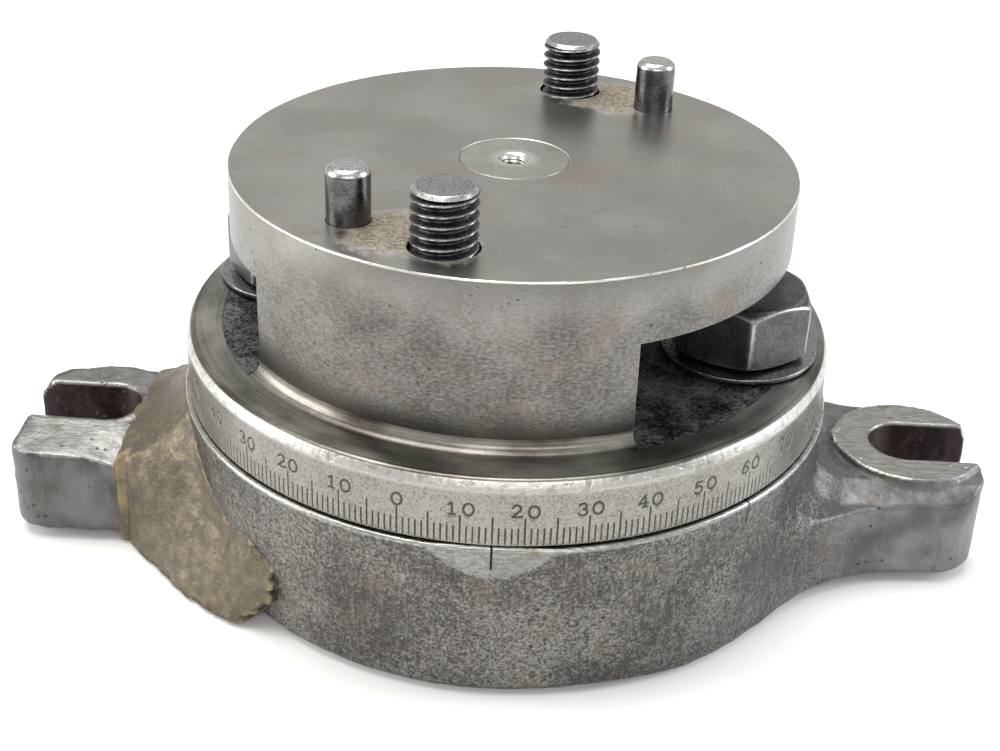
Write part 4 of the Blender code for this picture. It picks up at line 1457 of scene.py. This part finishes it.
def make_hardware(finish):
    stud_x, stud_y = on_circle(STUD_CIRCLE, STUD_ANGLE)
    dowel_x, dowel_y = on_circle(STUD_CIRCLE, DOWEL_ANGLE)
    angle = around(72)
    for name, side in (("front", 1), ("rear", -1)):
        low, high = TABLE_TOP - STUD_SINKS, TABLE_TOP + STUD_STANDS
        rows = threaded_rod(STUD_RADIUS, STUD_PITCH, low, high, 0.75, angle)
        place = in_frame(side * stud_x, side * stud_y)
        rows_piece(f"{name}_stud_thread", rows, angle, False, finish["thread"], "table", "thread_steel",
                   f"{name}_stud", place=place, turn=SWIVEL + 0.8 * side, sharp=60)
        pin_piece(f"{name}_dowel", in_frame(side * dowel_x, side * dowel_y), finish["pin"])
    for name, side in (("right", 1), ("left", -1)):
        place = in_frame(side * CLAMP_RADIUS, 0)
        washer = f"{name}_clamp_washer"
        washer_piece(f"{name}_washer", place, finish["washer"], washer)
        clamp_bolt_piece(f"{name}_bolt", box_mm(washer)[1][2] + GAP, HEXAGON_CORNERS[name], place,
                         f"{name}_bolt", finish["nut"], f"{name}_clamp_bolt")
        t_nut_piece(f"{name}_slot_nut", place, f"{name}_nut", finish["thread"], f"{name}_t_nut")
    washer_piece("post_washer", (0, 0), finish["washer"], "pivot_washer")
    nut_piece("post_nut", 0.0, (0, 0), "table", finish["nut"], "pivot_nut")
    low, high = COUNTERBORE_DEPTH + GAP, BASE_TOP - GAP
    inner = 8.3
    outer = BUSH_BORE_RADIUS - GAP
    corners = [(inner, low, 0.3), (outer, low, 0.3), (outer, high, 0.3), (inner, high, 0.3)]
    turned_piece("bush", corners, finish["bush"], "base_body", "bush_bronze", "pivot_bush")


# ---------------------------------------------------------------- floor, light and camera


def make_floor():
    data = bpy.data.meshes.new("floor")
    half = 1.6
    corners = [(-half, -half, 0), (half, -half, 0), (half, half, 0), (-half, half, 0)]
    data.from_pydata(corners, [], [(0, 1, 2, 3)])
    floor = add_object("floor", data)
    f = Finish("floor_paint", 0.0)
    speck = f.noise(40.0, 2.0)
    data.materials.append(f.done(f.blend(speck, (0.88, 0.88, 0.88), (0.90, 0.90, 0.895)), 0.6))


def soft_light(name, place, target, size, power, colour):
    data = bpy.data.lights.new(name, "AREA")
    data.shape = "RECTANGLE"
    data.size, data.size_y = size
    data.energy = power
    data.color = colour
    made = add_object(name, data)
    made.location = place
    made.rotation_euler = (Vector(target) - Vector(place)).to_track_quat("-Z", "Y").to_euler()


def make_light():
    world = bpy.data.worlds.new("studio")
    bpy.context.scene.world = world
    world.use_nodes = True
    background = world.node_tree.nodes["Background"]
    background.inputs["Color"].default_value = (1.0, 0.99, 0.965, 1.0)
    background.inputs["Strength"].default_value = 0.68
    soft_light("overhead", (-0.15, 0.1, 0.95), (0, 0, 0), (0.8, 0.7), 9.0, (1.0, 0.99, 0.97))
    soft_light("left_window", (-0.85, -0.1, 0.35), (0, 0, 0.03), (0.5, 0.6), 4.6, (1.0, 0.985, 0.96))
    soft_light("right_fill", (0.8, 0.05, 0.4), (0, 0, 0.03), (0.35, 0.5), 3.6, (0.86, 0.92, 1.0))
    soft_light("front_fill", (0.1, -0.8, 0.55), (0, 0, 0.03), (0.7, 0.3), 2.0, (1.0, 1.0, 1.0))
    bpy.context.scene.view_settings.view_transform = "Standard"


def make_camera():
    """The camera stands in front and above, rolled slightly."""
    data = bpy.data.cameras.new("camera")
    data.lens = 57.9
    data.sensor_width = 36
    data.clip_start = 0.01
    camera = add_object("camera", data)
    place = Vector((4.31, -229.91, 155.07)) * MM
    target = Vector((-0.83, -3.30, 28.0)) * MM
    roll = math.radians(2.2)
    back = (place - target).normalized()
    right = Vector((0, 0, 1)).cross(back).normalized()
    up = back.cross(right)
    side = math.cos(roll) * right + math.sin(roll) * up
    rise = math.cos(roll) * up - math.sin(roll) * right
    turn = Matrix((side, rise, back)).transposed()
    camera.matrix_world = Matrix.Translation(place) @ turn.to_4x4()
    bpy.context.scene.camera = camera


def build():
    finish = make_finishes()
    make_castings(finish)
    make_table(finish)
    make_scale(finish)
    make_post(finish)
    make_hardware(finish)
    make_floor()
    make_light()
    make_camera()


build()
